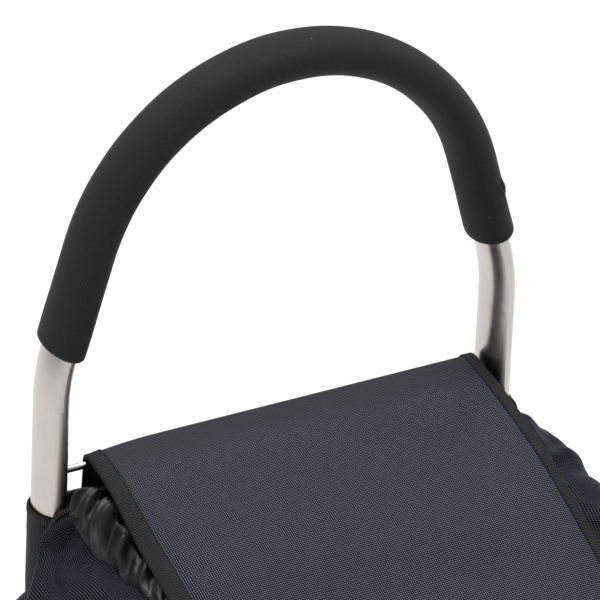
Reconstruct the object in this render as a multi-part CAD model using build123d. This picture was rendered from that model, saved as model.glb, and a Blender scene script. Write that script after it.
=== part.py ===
from build123d import *
import os
from math import cos, radians, sin

# A two-wheeled shopping trolley. Millimetres, +Z up, -Y is the front where the bag is, +X is the
# right-hand side seen from the front. The model is drawn about the plane of the handle tube
# (local y = 0) and moved back by LEG_Y when it is written, so that it sits centred on the origin.

# Handle and legs: one oval aluminium tube, bent to an arch and running down to the axle
LEG_SPACING = 350.0         # between the centre lines of the two legs
TUBE_X = 10.5               # half width of the oval, across the trolley
TUBE_Y = 17.0               # half depth of the oval, front to back
TUBE_WALL = 1.5
ARCH_RADIUS = 155.0
ARCH_HALF_ANGLE = 73.5      # the arc ends here, measured from the top
LEG_BEND_RADIUS = 140.0     # from the splayed side down to the upright leg
GRIP_TOP = 1000.0           # overall height
GRIP_X = 15.4               # foam grip, half sizes of its oval
GRIP_Y = 22.2
SOFT_GAP = 0.3              # soft parts stay this far from what they lie against
LEG_FOOT_Z = 104.0

# Rod that carries the lid, and the lid's roll over it
ROD_RADIUS = 2.5
ROD_Z = 708.5
ROD_INSERT = 4.0            # how far the rod's ends go into the legs
LID_ROLL_RADIUS = 8.5
LID_THICKNESS = 1.6
LID_HALF_WIDTH = 152.5
LID_SHIFT = 7.5             # the lid hangs a little to one side on its rod
LID_SLOPE = 12.0            # where it leaves the roll
LID_FLAT = 30.0
LID_CROWN_RADIUS = 459.0
LID_FRONT_SLOPE = 28.0
LID_FRONT_RADIUS = 66.0
LID_DROP = 95.0
BINDING_WIDTH = 8.0
BINDING_THICKNESS = 3.0

# Wheels and axle
WHEEL_RADIUS = 95.0
TYRE_WIDTH = 31.0
TYRE_INNER_RADIUS = 73.0
RIM_INNER_RADIUS = 64.0
HUB_RADIUS = 16.0
HUB_LENGTH = 34.0
HUB_START = 194.8           # inner end of the hub, from the middle
SPOKES = 6
BUSH_RADIUS = 8.0
BUSH_LENGTH = 12.0
AXLE_RADIUS = 5.0
RUNNING_GAP = 0.06
AXLE_HALF = 234.0

# Foot bracket at each leg
BRACKET_HALF = 16.0         # half width across the trolley
BRACKET_DEPTH = 24.0        # half depth
BRACKET_BOTTOM = 66.0
BRACKET_TOP = 130.0
BOSS_RADIUS = 14.0
BOSS_OUT = 193.0
CROSS_TUBE_RADIUS = 7.0
CROSS_TUBE_Z = 117.0
CROSS_SOCKET = 3.0
RIVET_RADIUS = 2.0
RIVET_Y = 7.0

# Folding platform
HINGE_Y = -60.0
HINGE_Z = 119.0
PIN_RADIUS = 4.0
EAR_RADIUS = 10.0
ARM_IN = 165.0
ARM_OUT = 183.0
EAR_ROOT = 142.0            # how far in the ears reach under the tray
EAR_IN = 150.0
EAR_OUT = 164.0
NOTCH_FRONT = -72.0         # the tray's back corners are cut away from here, round the stops
TRAY_HALF = 160.0
TRAY_TOP = 131.0
TRAY_BACK = -52.0
TRAY_FRONT = -243.0
TRAY_CORNER = 22.0
TRAY_SKIN = 2.5
TRAY_DEPTH = 17.0
TRAY_WALL = 2.2
STOP_Y = -45.0
STOP_Z = 124.0
STOP_RADIUS = 4.0
STOP_GAP = 0.35

# Stand
FOOT_ROD_RADIUS = 6.0
FOOT_SOCKET_Z = 77.0
FOOT_FRONT = -205.0
FOOT_ROD_Z = 9.0
PAD_X = 112.0
PAD_SIZE = (36.0, 24.0, 18.0)

# Bag. Each level is its height, its half width and where its front is
BAG_BOTTOM = 131.5
BAG_LEVELS = ((BAG_BOTTOM, 185.0, -238.0), (300.0, 208.0, -243.0), (631.0, 215.0, -243.0),
              (654.0, 209.0, -243.0), (670.0, 192.0, -243.0), (677.0, 170.0, -243.0))
BAG_BACK = -14.0
BAG_FRONT = -243.0
BAG_CORNER = 55.0
BAG_BACK_CORNER = 30.0
BAG_WALL = 2.0
RIM_LINE = ((-14.0, 676.0), (-115.0, 661.0), (-200.0, 626.0), (-243.0, 588.0))
RIM_BINDING = 8.0
COLLAR_ABOVE = 6.0          # how far the collar stands above the rim
COLLAR_BELOW = 40.0
SLEEVE_TOP = 683.0
SLEEVE_WALL = 2.0
SLEEVE_GAP = 0.4
BACK_PANEL_Y = 16.0
BACK_PANEL_TOP = 680.0
TAPE_HEIGHT = 14.0
BOARD_BACK = -76.0
BOARD_Z = 134.2
BOARD_THICKNESS = 3.0
STRIP_HALF = 42.0
STRIP_HEIGHT = 26.0
STRIP_Z = 500.0

LEG_X = LEG_SPACING / 2
SPLAY = 90.0 - ARCH_HALF_ANGLE
ARCH_Z = GRIP_TOP - GRIP_X - ARCH_RADIUS     # centre of the arch
LID_FRONT = BAG_FRONT - 4.0                  # centre of the lid's hanging front
LEG_Y = (-LID_FRONT + BINDING_THICKNESS / 2 - WHEEL_RADIUS) / 2

os.makedirs("parts", exist_ok=True)


def write(name, shape):
    """Writes one sub-part, moved from the handle's plane to the trolley's own origin."""
    export_step(Pos(0, LEG_Y, 0) * shape, f"parts/{name}.step")


def both_sides(name, shape):
    """Writes a right-hand (+X) sub-part and its mirror image."""
    write(f"left_{name}", mirror(shape, Plane.YZ))
    write(f"right_{name}", shape)


def rod_x(radius, x0, x1, y=0.0, z=0.0):
    """A cylinder along X."""
    middle = Pos((x0 + x1) / 2, y, z) * Rot(0, 90, 0)
    return middle * Cylinder(radius, abs(x1 - x0))


def box(x0, x1, y0, y1, z0, z1):
    centre = Pos((x0 + x1) / 2, (y0 + y1) / 2, (z0 + z1) / 2)
    return centre * Box(abs(x1 - x0), abs(y1 - y0), abs(z1 - z0))


def prism_x(points, x0, x1):
    """A polygon of (y, z) points pulled out along X."""
    face = make_face(Polyline(*[(x0, y, z) for y, z in points], close=True))
    return extrude(face, amount=x1 - x0, dir=(1, 0, 0))


# ---------------------------------------------------------------- handle tube and grip

def arch_points():
    """Corner points of the tube's centre line on the +X side: arc end, bend start, bend end."""
    arc_end = (ARCH_RADIUS * sin(radians(ARCH_HALF_ANGLE)),
               ARCH_Z + ARCH_RADIUS * cos(radians(ARCH_HALF_ANGLE)))
    bend_x = LEG_X - LEG_BEND_RADIUS * (1 - cos(radians(SPLAY)))
    drop = (bend_x - arc_end[0]) / sin(radians(SPLAY)) * cos(radians(SPLAY))
    bend_start = (bend_x, arc_end[1] - drop)
    bend_end = (LEG_X, bend_start[1] - LEG_BEND_RADIUS * sin(radians(SPLAY)))
    return arc_end, bend_start, bend_end


def tube_path(with_legs):
    """Centre line of the grip, or of the whole tube from foot to foot."""
    arc_end, bend_start, bend_end = arch_points()

    def at(point, side):
        return Vector(side * point[0], 0, point[1])

    half = radians(SPLAY / 2)
    bend_middle = (LEG_X - LEG_BEND_RADIUS * (1 - cos(half)),
                   bend_end[1] + LEG_BEND_RADIUS * sin(half))
    edges = [
        Line(at(bend_start, -1), at(arc_end, -1)),
        ThreePointArc(at(arc_end, -1), Vector(0, 0, ARCH_Z + ARCH_RADIUS), at(arc_end, 1)),
        Line(at(arc_end, 1), at(bend_start, 1)),
    ]
    if with_legs:
        foot = (LEG_X, LEG_FOOT_Z)
        left = [
            Line(at(foot, -1), at(bend_end, -1)),
            ThreePointArc(at(bend_end, -1), at(bend_middle, -1), at(bend_start, -1)),
        ]
        right = [
            ThreePointArc(at(bend_start, 1), at(bend_middle, 1), at(bend_end, 1)),
            Line(at(bend_end, 1), at(foot, 1)),
        ]
        edges = left + edges + right
    return Wire(edges)


def oval_sweep(path, half_x, half_y):
    start = path.position_at(0)
    along = path.tangent_at(0)
    across = along.cross(Vector(0, 1, 0))
    section = Plane(origin=start, x_dir=across, z_dir=along) * Ellipse(half_x, half_y)
    return sweep(section, path=path)


def frame_tube():
    path = tube_path(with_legs=True)
    tube = oval_sweep(path, TUBE_X, TUBE_Y)
    tube -= oval_sweep(path, TUBE_X - TUBE_WALL, TUBE_Y - TUBE_WALL)
    inner_face = LEG_X - TUBE_X
    for side in (-1, 1):
        start = side * (inner_face - 2)
        tube -= rod_x(ROD_RADIUS + RUNNING_GAP, start, start + side * 2 * ROD_INSERT, 0, ROD_Z)
        for y in (-RIVET_Y, RIVET_Y):
            out = side * (LEG_X + TUBE_X + 1)
            tube -= rod_x(RIVET_RADIUS + RUNNING_GAP, side * LEG_X, out, y, CROSS_TUBE_Z)
    return tube


def foam_grip():
    path = tube_path(with_legs=False)
    return (oval_sweep(path, GRIP_X, GRIP_Y)
            - oval_sweep(path, TUBE_X + SOFT_GAP, TUBE_Y + SOFT_GAP))


def top_rod():
    half = LEG_X - TUBE_X + ROD_INSERT
    rod = rod_x(ROD_RADIUS, -half, half, 0, ROD_Z)
    return chamfer(rod.edges().filter_by(GeomType.CIRCLE), 0.4)


# ---------------------------------------------------------------- foot brackets, axle, stand

def bracket():
    """Moulded foot: leg socket, axle boss, hinge arm, stop peg and socket for the stand."""
    body = box(LEG_X - BRACKET_HALF, LEG_X + BRACKET_HALF, -BRACKET_DEPTH, BRACKET_DEPTH,
               BRACKET_BOTTOM, BRACKET_TOP)
    body = fillet(body.edges().filter_by(Axis.Z), 6)
    body = fillet(body.faces().sort_by(Axis.Z)[0].edges(), 3)
    body += rod_x(BOSS_RADIUS, LEG_X - BRACKET_HALF, BOSS_OUT, 0, WHEEL_RADIUS)
    arm = box(ARM_IN, ARM_OUT, HINGE_Y, -BRACKET_DEPTH + 6, HINGE_Z - EAR_RADIUS,
              HINGE_Z + EAR_RADIUS)
    body += arm + rod_x(EAR_RADIUS, ARM_IN, ARM_OUT, HINGE_Y, HINGE_Z)
    body += rod_x(STOP_RADIUS, EAR_IN + 2, ARM_IN + 2, STOP_Y, STOP_Z)
    socket = Pos(LEG_X, 0, LEG_FOOT_Z) * Ellipse(TUBE_X + RUNNING_GAP, TUBE_Y + RUNNING_GAP)
    body -= extrude(socket, amount=BRACKET_TOP, dir=(0, 0, 1))
    body -= rod_x(AXLE_RADIUS + RUNNING_GAP, EAR_IN, AXLE_HALF, 0, WHEEL_RADIUS)
    body -= rod_x(PIN_RADIUS + RUNNING_GAP, EAR_IN, ARM_OUT + 2, HINGE_Y, HINGE_Z)
    body -= rod_x(CROSS_TUBE_RADIUS + RUNNING_GAP, 0, LEG_X - BRACKET_HALF + CROSS_SOCKET,
                  0, CROSS_TUBE_Z)
    foot_hole = Cylinder(FOOT_ROD_RADIUS + RUNNING_GAP, 2 * BRACKET_DEPTH)
    body -= Pos(LEG_X, -BRACKET_DEPTH, FOOT_SOCKET_Z) * Rot(90, 0, 0) * foot_hole
    for y in (-RIVET_Y, RIVET_Y):
        body -= rod_x(RIVET_RADIUS + RUNNING_GAP, LEG_X, LEG_X + BRACKET_HALF + 1,
                      y, CROSS_TUBE_Z)
    return body


def bracket_rivets():
    """Two blind rivets a side hold the legs in their brackets."""
    rivets = []
    face = LEG_X + BRACKET_HALF
    for side in (-1, 1):
        for y in (-RIVET_Y, RIVET_Y):
            shank = rod_x(RIVET_RADIUS, side * (LEG_X + 7), side * face, y, CROSS_TUBE_Z)
            head = rod_x(RIVET_RADIUS * 1.9, side * face, side * (face + 1.2), y, CROSS_TUBE_Z)
            rivets.append(shank + head)
    return Compound(rivets)


def lower_cross_tube():
    half = LEG_X - BRACKET_HALF + CROSS_SOCKET
    return (rod_x(CROSS_TUBE_RADIUS, -half, half, 0, CROSS_TUBE_Z)
            - rod_x(CROSS_TUBE_RADIUS - 1.2, -half, half, 0, CROSS_TUBE_Z))


def axle():
    rod = rod_x(AXLE_RADIUS, -AXLE_HALF, AXLE_HALF, 0, WHEEL_RADIUS)
    return chamfer(rod.edges().filter_by(GeomType.CIRCLE), 0.8)


def stand_foot():
    """A bent rod from bracket to bracket, down to the floor in front of the wheels."""
    path = FilletPolyline(
        (-LEG_X, -4, FOOT_SOCKET_Z), (-LEG_X, -75, FOOT_SOCKET_Z),
        (-LEG_X, FOOT_FRONT, FOOT_ROD_Z), (LEG_X, FOOT_FRONT, FOOT_ROD_Z),
        (LEG_X, -75, FOOT_SOCKET_Z), (LEG_X, -4, FOOT_SOCKET_Z),
        radius=[45, 34, 34, 45],
    )
    section = Plane(origin=path @ 0, z_dir=path % 0) * Circle(FOOT_ROD_RADIUS)
    return sweep(section, path=path)


def foot_pad():
    length, depth, height = PAD_SIZE
    pad = Pos(PAD_X, FOOT_FRONT, height / 2) * Box(length, depth, height)
    pad = fillet(pad.edges().filter_by(Axis.X).group_by(Axis.Z)[-1], 7)
    pad = fillet(pad.edges().filter_by(Axis.X).group_by(Axis.Z)[0], 2)
    return pad - rod_x(FOOT_ROD_RADIUS + RUNNING_GAP, PAD_X - length, PAD_X + length,
                       FOOT_FRONT, FOOT_ROD_Z)


# ---------------------------------------------------------------- wheels

def revolve_x(points, z=WHEEL_RADIUS):
    """A ring: (x, radius) points turned about the axle's line."""
    face = make_face(Polyline(*[(x, 0, z + r) for x, r in points], close=True))
    return revolve(face, Axis((0, 0, z), (1, 0, 0)), 360)


HUB_END = HUB_START + HUB_LENGTH
WHEEL_X = (HUB_START + HUB_END) / 2


def tyre():
    half = TYRE_WIDTH / 2
    inner, outer = TYRE_INNER_RADIUS, WHEEL_RADIUS
    profile = [(-half + 3, inner), (half - 3, inner), (half, inner + 6), (half, outer - 7),
               (half - 5, outer - 1.5), (half - 9, outer), (-half + 9, outer),
               (-half + 5, outer - 1.5), (-half, outer - 7), (-half, inner + 6)]
    ring = revolve_x([(WHEEL_X + x, r) for x, r in profile])
    for offset in (-4.5, 4.5):
        groove = [(offset - 1, outer - 1.6), (offset + 1, outer - 1.6),
                  (offset + 1, outer + 1), (offset - 1, outer + 1)]
        ring -= revolve_x([(WHEEL_X + x, r) for x, r in groove])
    return ring


def rim():
    """Moulded rim: channel for the tyre, spokes and hub."""
    half = TYRE_WIDTH / 2 - 3
    outer = TYRE_INNER_RADIUS
    channel = revolve_x([(WHEEL_X + x, r) for x, r in (
        (-half, RIM_INNER_RADIUS), (half, RIM_INNER_RADIUS), (half, outer), (-half, outer))])
    hub = rod_x(HUB_RADIUS, HUB_START, HUB_END, 0, WHEEL_RADIUS)
    wheel = channel + hub
    for k in range(SPOKES):
        spoke = box(WHEEL_X - 7, WHEEL_X + 5, -6.5, 6.5, HUB_RADIUS - 2, RIM_INNER_RADIUS + 2)
        wheel += Pos(0, 0, WHEEL_RADIUS) * Rot(k * 360 / SPOKES, 0, 0) * spoke
    return wheel - rod_x(BUSH_RADIUS, HUB_START - 1, HUB_END + 1, 0, WHEEL_RADIUS)


def bushes():
    """Two plain bearing bushes, one pressed into each end of the hub."""
    pair = []
    for x0, x1 in ((HUB_START, HUB_START + BUSH_LENGTH), (HUB_END - BUSH_LENGTH, HUB_END)):
        pair.append(rod_x(BUSH_RADIUS - 0.02, x0, x1, 0, WHEEL_RADIUS)
                    - rod_x(AXLE_RADIUS + RUNNING_GAP, x0, x1, 0, WHEEL_RADIUS))
    return Compound(pair)


def hub_cap():
    """A cup pressed over the hub's outer end, clear of the axle and its clip."""
    return revolve_x([(HUB_END - 7, HUB_RADIUS + 0.05), (HUB_END - 7, HUB_RADIUS + 2.4),
                      (HUB_END + 6, HUB_RADIUS + 2.4), (HUB_END + 9.5, HUB_RADIUS - 4),
                      (HUB_END + 9.5, 0), (HUB_END + 7.5, 0), (HUB_END + 7.5, HUB_RADIUS - 5),
                      (HUB_END + 4.5, HUB_RADIUS + 0.05)])


def ring_x(inner, outer, x0, x1):
    return (rod_x(outer, x0, x1, 0, WHEEL_RADIUS)
            - rod_x(inner, x0, x1, 0, WHEEL_RADIUS))


# ---------------------------------------------------------------- folding platform

def platform_tray():
    """A shallow moulded tray, open below, with ribs, hinge ears and heels for the stop."""
    width = 2 * TRAY_HALF
    depth = TRAY_BACK - TRAY_FRONT
    middle = (TRAY_BACK + TRAY_FRONT) / 2
    plate = Rectangle(width, depth)
    plate = fillet(plate.vertices().sort_by(Axis.Y)[:2], TRAY_CORNER)
    hollow = offset(plate, -TRAY_WALL)
    bottom = TRAY_TOP - TRAY_DEPTH
    tray = Pos(0, middle, bottom) * extrude(plate, amount=TRAY_DEPTH)
    tray -= Pos(0, middle, bottom) * extrude(hollow, amount=TRAY_DEPTH - TRAY_SKIN)
    for x in (-80, 0, 80):
        tray += box(x - 1.2, x + 1.2, TRAY_FRONT + 1, TRAY_BACK - 1, bottom + 3, TRAY_TOP - 1)
    for y in (-115, -180):
        tray += box(-TRAY_HALF + 1, TRAY_HALF - 1, y - 1.2, y + 1.2, bottom + 3, TRAY_TOP - 1)
    heel_top = STOP_Z - STOP_RADIUS - STOP_GAP
    for side in (-1, 1):
        tray -= box(side * EAR_IN, side * (TRAY_HALF + 1), NOTCH_FRONT, TRAY_BACK + 1,
                    bottom - 1, TRAY_TOP + 1)
        near, far = side * EAR_ROOT, side * EAR_OUT
        ear = rod_x(EAR_RADIUS, near, far, HINGE_Y, HINGE_Z)
        ear += box(near, far, HINGE_Y - EAR_RADIUS, HINGE_Y, HINGE_Z, TRAY_TOP - 1)
        ear += box(near, far, HINGE_Y, STOP_Y + 4, HINGE_Z - EAR_RADIUS, heel_top)
        tray += ear
    for side in (-1, 1):
        start = side * (EAR_ROOT - 1)
        tray -= rod_x(PIN_RADIUS + RUNNING_GAP, start, side * (EAR_OUT + 1), HINGE_Y, HINGE_Z)
    return tray


def hinge_pin():
    return (rod_x(PIN_RADIUS, EAR_IN + 0.5, ARM_OUT, HINGE_Y, HINGE_Z)
            + rod_x(PIN_RADIUS * 1.6, ARM_OUT, ARM_OUT + 2.5, HINGE_Y, HINGE_Z))


# ---------------------------------------------------------------- bag

def bag_section(z, half, front, grow):
    """One level of the bag in plan, grown or shrunk all round by grow."""
    depth = BAG_BACK - front + 2 * grow
    face = Pos(0, (BAG_BACK + front) / 2, z) * Rectangle(2 * (half + grow), depth)
    face = fillet(face.vertices().sort_by(Axis.Y)[:2], BAG_CORNER + grow)
    return fillet(face.vertices().sort_by(Axis.Y)[-2:], BAG_BACK_CORNER + grow)


def bag_block(grow):
    return loft([bag_section(z, half, front, grow) for z, half, front in BAG_LEVELS],
                ruled=True)


def bag_wall(outer, inner):
    """The bag's sides and front as one wrapped wall, open at the back between the sleeves."""
    back = box(-LEG_X - 12, LEG_X + 12, -40, 40, 0, 2 * BAG_LEVELS[-1][0])
    return bag_block(outer) - bag_block(inner) - back


def beyond(lift, up):
    """Everything above (up=1) or below (up=-1) the rim's line, raised by lift."""
    line = [(y, z + lift) for y, z in RIM_LINE]
    line = [(line[0][0] + 100, line[0][1])] + line + [(line[-1][0] - 100, line[-1][1])]
    limit = 2000 * up
    return prism_x(line + [(line[-1][0], limit), (line[0][0], limit)], -400, 400)


def bag_shell():
    return bag_wall(0, -BAG_WALL) - beyond(-RIM_BINDING - SOFT_GAP, 1)


def rim_binding():
    return bag_wall(1, -BAG_WALL - 1) - beyond(0, 1) - beyond(-RIM_BINDING, -1)


def bag_collar():
    """The thin gathered collar inside the rim."""
    return bag_wall(-6, -8) - beyond(COLLAR_ABOVE, 1) - beyond(-COLLAR_BELOW, -1)


def bag_base():
    plate = bag_section(*BAG_LEVELS[0], -BAG_WALL - 0.5)
    base = extrude(plate, amount=BAG_WALL, dir=(0, 0, 1))
    back = BACK_PANEL_Y - 1.5
    between = LEG_X - TUBE_X - SLEEVE_GAP - SLEEVE_WALL - 1
    base -= box(-LEG_X - 20, LEG_X + 20, -22, 40, 0, 200)
    return base + box(-between, between, -30, back, BAG_BOTTOM, BAG_BOTTOM + BAG_WALL)


def base_board():
    _, half, front = BAG_LEVELS[0]
    board = extrude(bag_section(BOARD_Z, half, front, -8), amount=BOARD_THICKNESS,
                    dir=(0, 0, 1))
    return board - box(-300, 300, BOARD_BACK, 100, 0, 300)


def leg_ring(gap, wall, z0, z1):
    """An oval ring round a leg."""
    outer = Pos(LEG_X, 0, z0) * Ellipse(TUBE_X + gap + wall, TUBE_Y + gap + wall)
    inner = Pos(LEG_X, 0, z0) * Ellipse(TUBE_X + gap, TUBE_Y + gap)
    return extrude(outer - inner, amount=z1 - z0, dir=(0, 0, 1))


def back_panel():
    half = LEG_X - TUBE_X + 0.5
    return box(-half, half, BACK_PANEL_Y - 1, BACK_PANEL_Y + 1, BAG_BOTTOM, BACK_PANEL_TOP)


def back_tape():
    """Bound top edge of the back panel."""
    half = LEG_X - TUBE_X - 1
    return box(-half, half, BACK_PANEL_Y + 1.3, BACK_PANEL_Y + 2.5,
               BACK_PANEL_TOP - TAPE_HEIGHT, BACK_PANEL_TOP)


def lid_skirt():
    """The fixed cloth behind the rod, down to the back panel."""
    top_y = LID_ROLL_RADIUS + BINDING_THICKNESS / 2 + 1.3
    low_y = BACK_PANEL_Y + 1.5
    points = [(top_y, ROD_Z + 0.5), (top_y + LID_THICKNESS, ROD_Z + 0.5),
              (low_y + LID_THICKNESS, BACK_PANEL_TOP + 1), (low_y, BACK_PANEL_TOP + 1)]
    shift = [(y - LID_THICKNESS / 2, z) for y, z in points]
    return prism_x(shift, LID_SHIFT - LID_HALF_WIDTH, LID_SHIFT + LID_HALF_WIDTH)


def loop_strip():
    return box(-STRIP_HALF, STRIP_HALF, BAG_FRONT - 1.5, BAG_FRONT - 0.4,
               STRIP_Z, STRIP_Z + STRIP_HEIGHT)


# ---------------------------------------------------------------- lid

def lid_line():
    """The lid's centre line in side view, as (kind, ...) steps from the roll to the hem."""
    a, b = radians(LID_SLOPE), radians(LID_FRONT_SLOPE)
    y0, z0 = -LID_ROLL_RADIUS * sin(a), ROD_Z + LID_ROLL_RADIUS * cos(a)
    y1, z1 = y0 - LID_FLAT * cos(a), z0 - LID_FLAT * sin(a)
    crown_y = y1 + LID_CROWN_RADIUS * sin(a)
    crown_z = z1 - LID_CROWN_RADIUS * cos(a)
    y2, z2 = crown_y - LID_CROWN_RADIUS * sin(b), crown_z + LID_CROWN_RADIUS * cos(b)
    y3 = LID_FRONT + LID_FRONT_RADIUS * (1 - sin(b))
    z3 = z2 - (y2 - y3) * sin(b) / cos(b)
    front_z = z3 - LID_FRONT_RADIUS * cos(b)
    return [
        CenterArc((0, ROD_Z), LID_ROLL_RADIUS, 0, 90 + LID_SLOPE),
        Line((y0, z0), (y1, z1)),
        CenterArc((crown_y, crown_z), LID_CROWN_RADIUS, 90 + LID_SLOPE,
                  LID_FRONT_SLOPE - LID_SLOPE),
        Line((y2, z2), (y3, z3)),
        CenterArc((LID_FRONT + LID_FRONT_RADIUS, front_z), LID_FRONT_RADIUS,
                  90 + LID_FRONT_SLOPE, 90 - LID_FRONT_SLOPE),
        Line((LID_FRONT, front_z), (LID_FRONT, front_z - LID_DROP)),
    ], front_z - LID_DROP


def lid_band(x0, x1, thickness):
    """A strip of the lid between two widths, following its line in side view."""
    line, _ = lid_line()
    section = Plane.YZ * trace(Wire(line), line_width=thickness)
    return Pos(x0, 0, 0) * extrude(section, amount=x1 - x0)


def lid_ends():
    return LID_SHIFT - LID_HALF_WIDTH, LID_SHIFT + LID_HALF_WIDTH


def lid_panel():
    left, right = lid_ends()
    inset = BINDING_WIDTH + SOFT_GAP
    hem = lid_line()[1] + inset
    panel = lid_band(left + inset, right - inset, LID_THICKNESS)
    return panel - box(-300, 300, LID_FRONT - 20, LID_FRONT + 20, hem - 50, hem)


def lid_binding():
    """One tape folded round both sides and the hem of the lid."""
    left, right = lid_ends()
    hem = lid_line()[1]
    tape = lid_band(left, left + BINDING_WIDTH, BINDING_THICKNESS)
    tape += lid_band(right - BINDING_WIDTH, right, BINDING_THICKNESS)
    return tape + box(left, right, LID_FRONT - BINDING_THICKNESS / 2,
                      LID_FRONT + BINDING_THICKNESS / 2, hem, hem + BINDING_WIDTH)


def hook_strip():
    inside = LID_FRONT + LID_THICKNESS / 2 + SOFT_GAP
    return box(-STRIP_HALF, STRIP_HALF, inside, inside + 1, STRIP_Z, STRIP_Z + STRIP_HEIGHT)


# ---------------------------------------------------------------- all sub-parts

write("frame_tube", frame_tube())
write("foam_grip", foam_grip())
write("top_rod", top_rod())
both_sides("bracket", bracket())
write("bracket_rivets", bracket_rivets())
write("lower_cross_tube", lower_cross_tube())
write("axle", axle())
write("stand_foot", stand_foot())
both_sides("foot_pad", foot_pad())

both_sides("tyre", tyre())
both_sides("rim", rim())
both_sides("bushes", bushes())
both_sides("hub_cap", hub_cap())
both_sides("washer", ring_x(AXLE_RADIUS + RUNNING_GAP, 10, BOSS_OUT + 0.2, HUB_START - 0.4))
both_sides("clip", ring_x(AXLE_RADIUS + RUNNING_GAP, 9.5, HUB_END + 0.4, HUB_END + 2.2))

write("platform_tray", platform_tray())
both_sides("hinge_pin", hinge_pin())
write("base_board", base_board())

write("bag_shell", bag_shell())
write("rim_binding", rim_binding())
write("bag_collar", bag_collar())
write("bag_base", bag_base())
write("back_panel", back_panel())
write("back_tape", back_tape())
both_sides("sleeve", leg_ring(SLEEVE_GAP, SLEEVE_WALL, BAG_BOTTOM, SLEEVE_TOP - 6.3))
both_sides("sleeve_ring", leg_ring(SLEEVE_GAP, SLEEVE_WALL + 0.6, SLEEVE_TOP - 6, SLEEVE_TOP))
write("loop_strip", loop_strip())

write("lid_skirt", lid_skirt())
write("lid_panel", lid_panel())
write("lid_binding", lid_binding())
write("hook_strip", hook_strip())
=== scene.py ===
from math import cos, pi, radians, sin

import bpy
import numpy as np
from mathutils import Matrix, Vector, noise


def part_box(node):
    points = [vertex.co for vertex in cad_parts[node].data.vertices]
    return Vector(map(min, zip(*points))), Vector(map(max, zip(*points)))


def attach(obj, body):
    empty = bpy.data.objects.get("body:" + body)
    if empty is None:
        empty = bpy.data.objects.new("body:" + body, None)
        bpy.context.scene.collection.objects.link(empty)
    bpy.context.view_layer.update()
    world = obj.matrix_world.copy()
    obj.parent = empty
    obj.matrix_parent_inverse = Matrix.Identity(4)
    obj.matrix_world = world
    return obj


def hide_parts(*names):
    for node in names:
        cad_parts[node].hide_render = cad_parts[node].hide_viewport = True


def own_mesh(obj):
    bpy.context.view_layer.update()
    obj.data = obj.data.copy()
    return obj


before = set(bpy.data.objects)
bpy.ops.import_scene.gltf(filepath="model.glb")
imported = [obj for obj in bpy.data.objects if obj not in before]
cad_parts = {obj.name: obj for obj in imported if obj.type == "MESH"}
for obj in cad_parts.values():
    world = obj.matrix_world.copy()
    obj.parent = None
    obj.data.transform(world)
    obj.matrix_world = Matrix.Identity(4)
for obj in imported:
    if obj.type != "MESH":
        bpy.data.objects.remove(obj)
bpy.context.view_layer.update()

# Lengths below are millimetres about the handle's plane (y = 0 runs through both legs, -Y is the
# front), as the design is drawn. mesh_object() turns them into metres in the row frame.
MM = 0.001
ROD_LOW, ROD_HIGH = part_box("top_rod")
LEG_Y = (ROD_LOW.y + ROD_HIGH.y) / 2 / MM


def corners(node):
    """A CAD node's lowest and highest corners, in millimetres about the handle's plane."""
    shift = np.array([0, LEG_Y, 0])
    return [np.array(corner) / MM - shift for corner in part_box(node)]


def middle(node):
    low, high = corners(node)
    return (low + high) / 2


ROD_Z = middle("top_rod")[2]
LEG_X = middle("right_sleeve")[0]
TUBE_Y = (corners("frame_tube")[1] - corners("frame_tube")[0])[1] / 2
TUBE_X = corners("frame_tube")[1][0] - LEG_X
GRIP_TOP = corners("foam_grip")[1][2]
GRIP_Y = corners("foam_grip")[1][1]
LID_LEFT = corners("lid_binding")[0][0] - 4.0        # the left edge has spread a little
LID_RIGHT = corners("lid_binding")[1][0]
LID_HEM = corners("lid_binding")[0][2]
BAG_HALF = corners("bag_shell")[1][0]
BAG_FRONT = corners("bag_shell")[0][1]
BAG_BOTTOM = corners("bag_shell")[0][2]
PANEL_LOW, PANEL_HIGH = corners("back_panel")


# ---------------------------------------------------------------- mesh making

def mesh_object(name, points, faces, body, material, uvs=None):
    """A mesh from millimetre points, riding on a body. uvs has one pair a face corner."""
    mesh = bpy.data.meshes.new(name)
    row = np.asarray(points, float) * MM + np.array([0, LEG_Y * MM, 0])
    mesh.from_pydata(row.tolist(), [], [list(map(int, f)) for f in faces])
    if uvs is not None:
        layer = mesh.uv_layers.new(name="Cloth")
        layer.data.foreach_set("uv", np.asarray(uvs, np.float32).ravel())
    mesh.polygons.foreach_set("use_smooth", [True] * len(mesh.polygons))
    mesh.update()
    obj = bpy.data.objects.new(name, mesh)
    bpy.context.scene.collection.objects.link(obj)
    obj.data.materials.append(material)
    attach(obj, body)
    return obj


def arc_lengths(points):
    """Mean distance along the rows and along the columns of a grid of points."""
    down = np.linalg.norm(np.diff(points, axis=0), axis=2).mean(1)
    along = np.linalg.norm(np.diff(points, axis=1), axis=2).mean(0)
    return np.concatenate([[0], np.cumsum(down)]), np.concatenate([[0], np.cumsum(along)])


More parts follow.
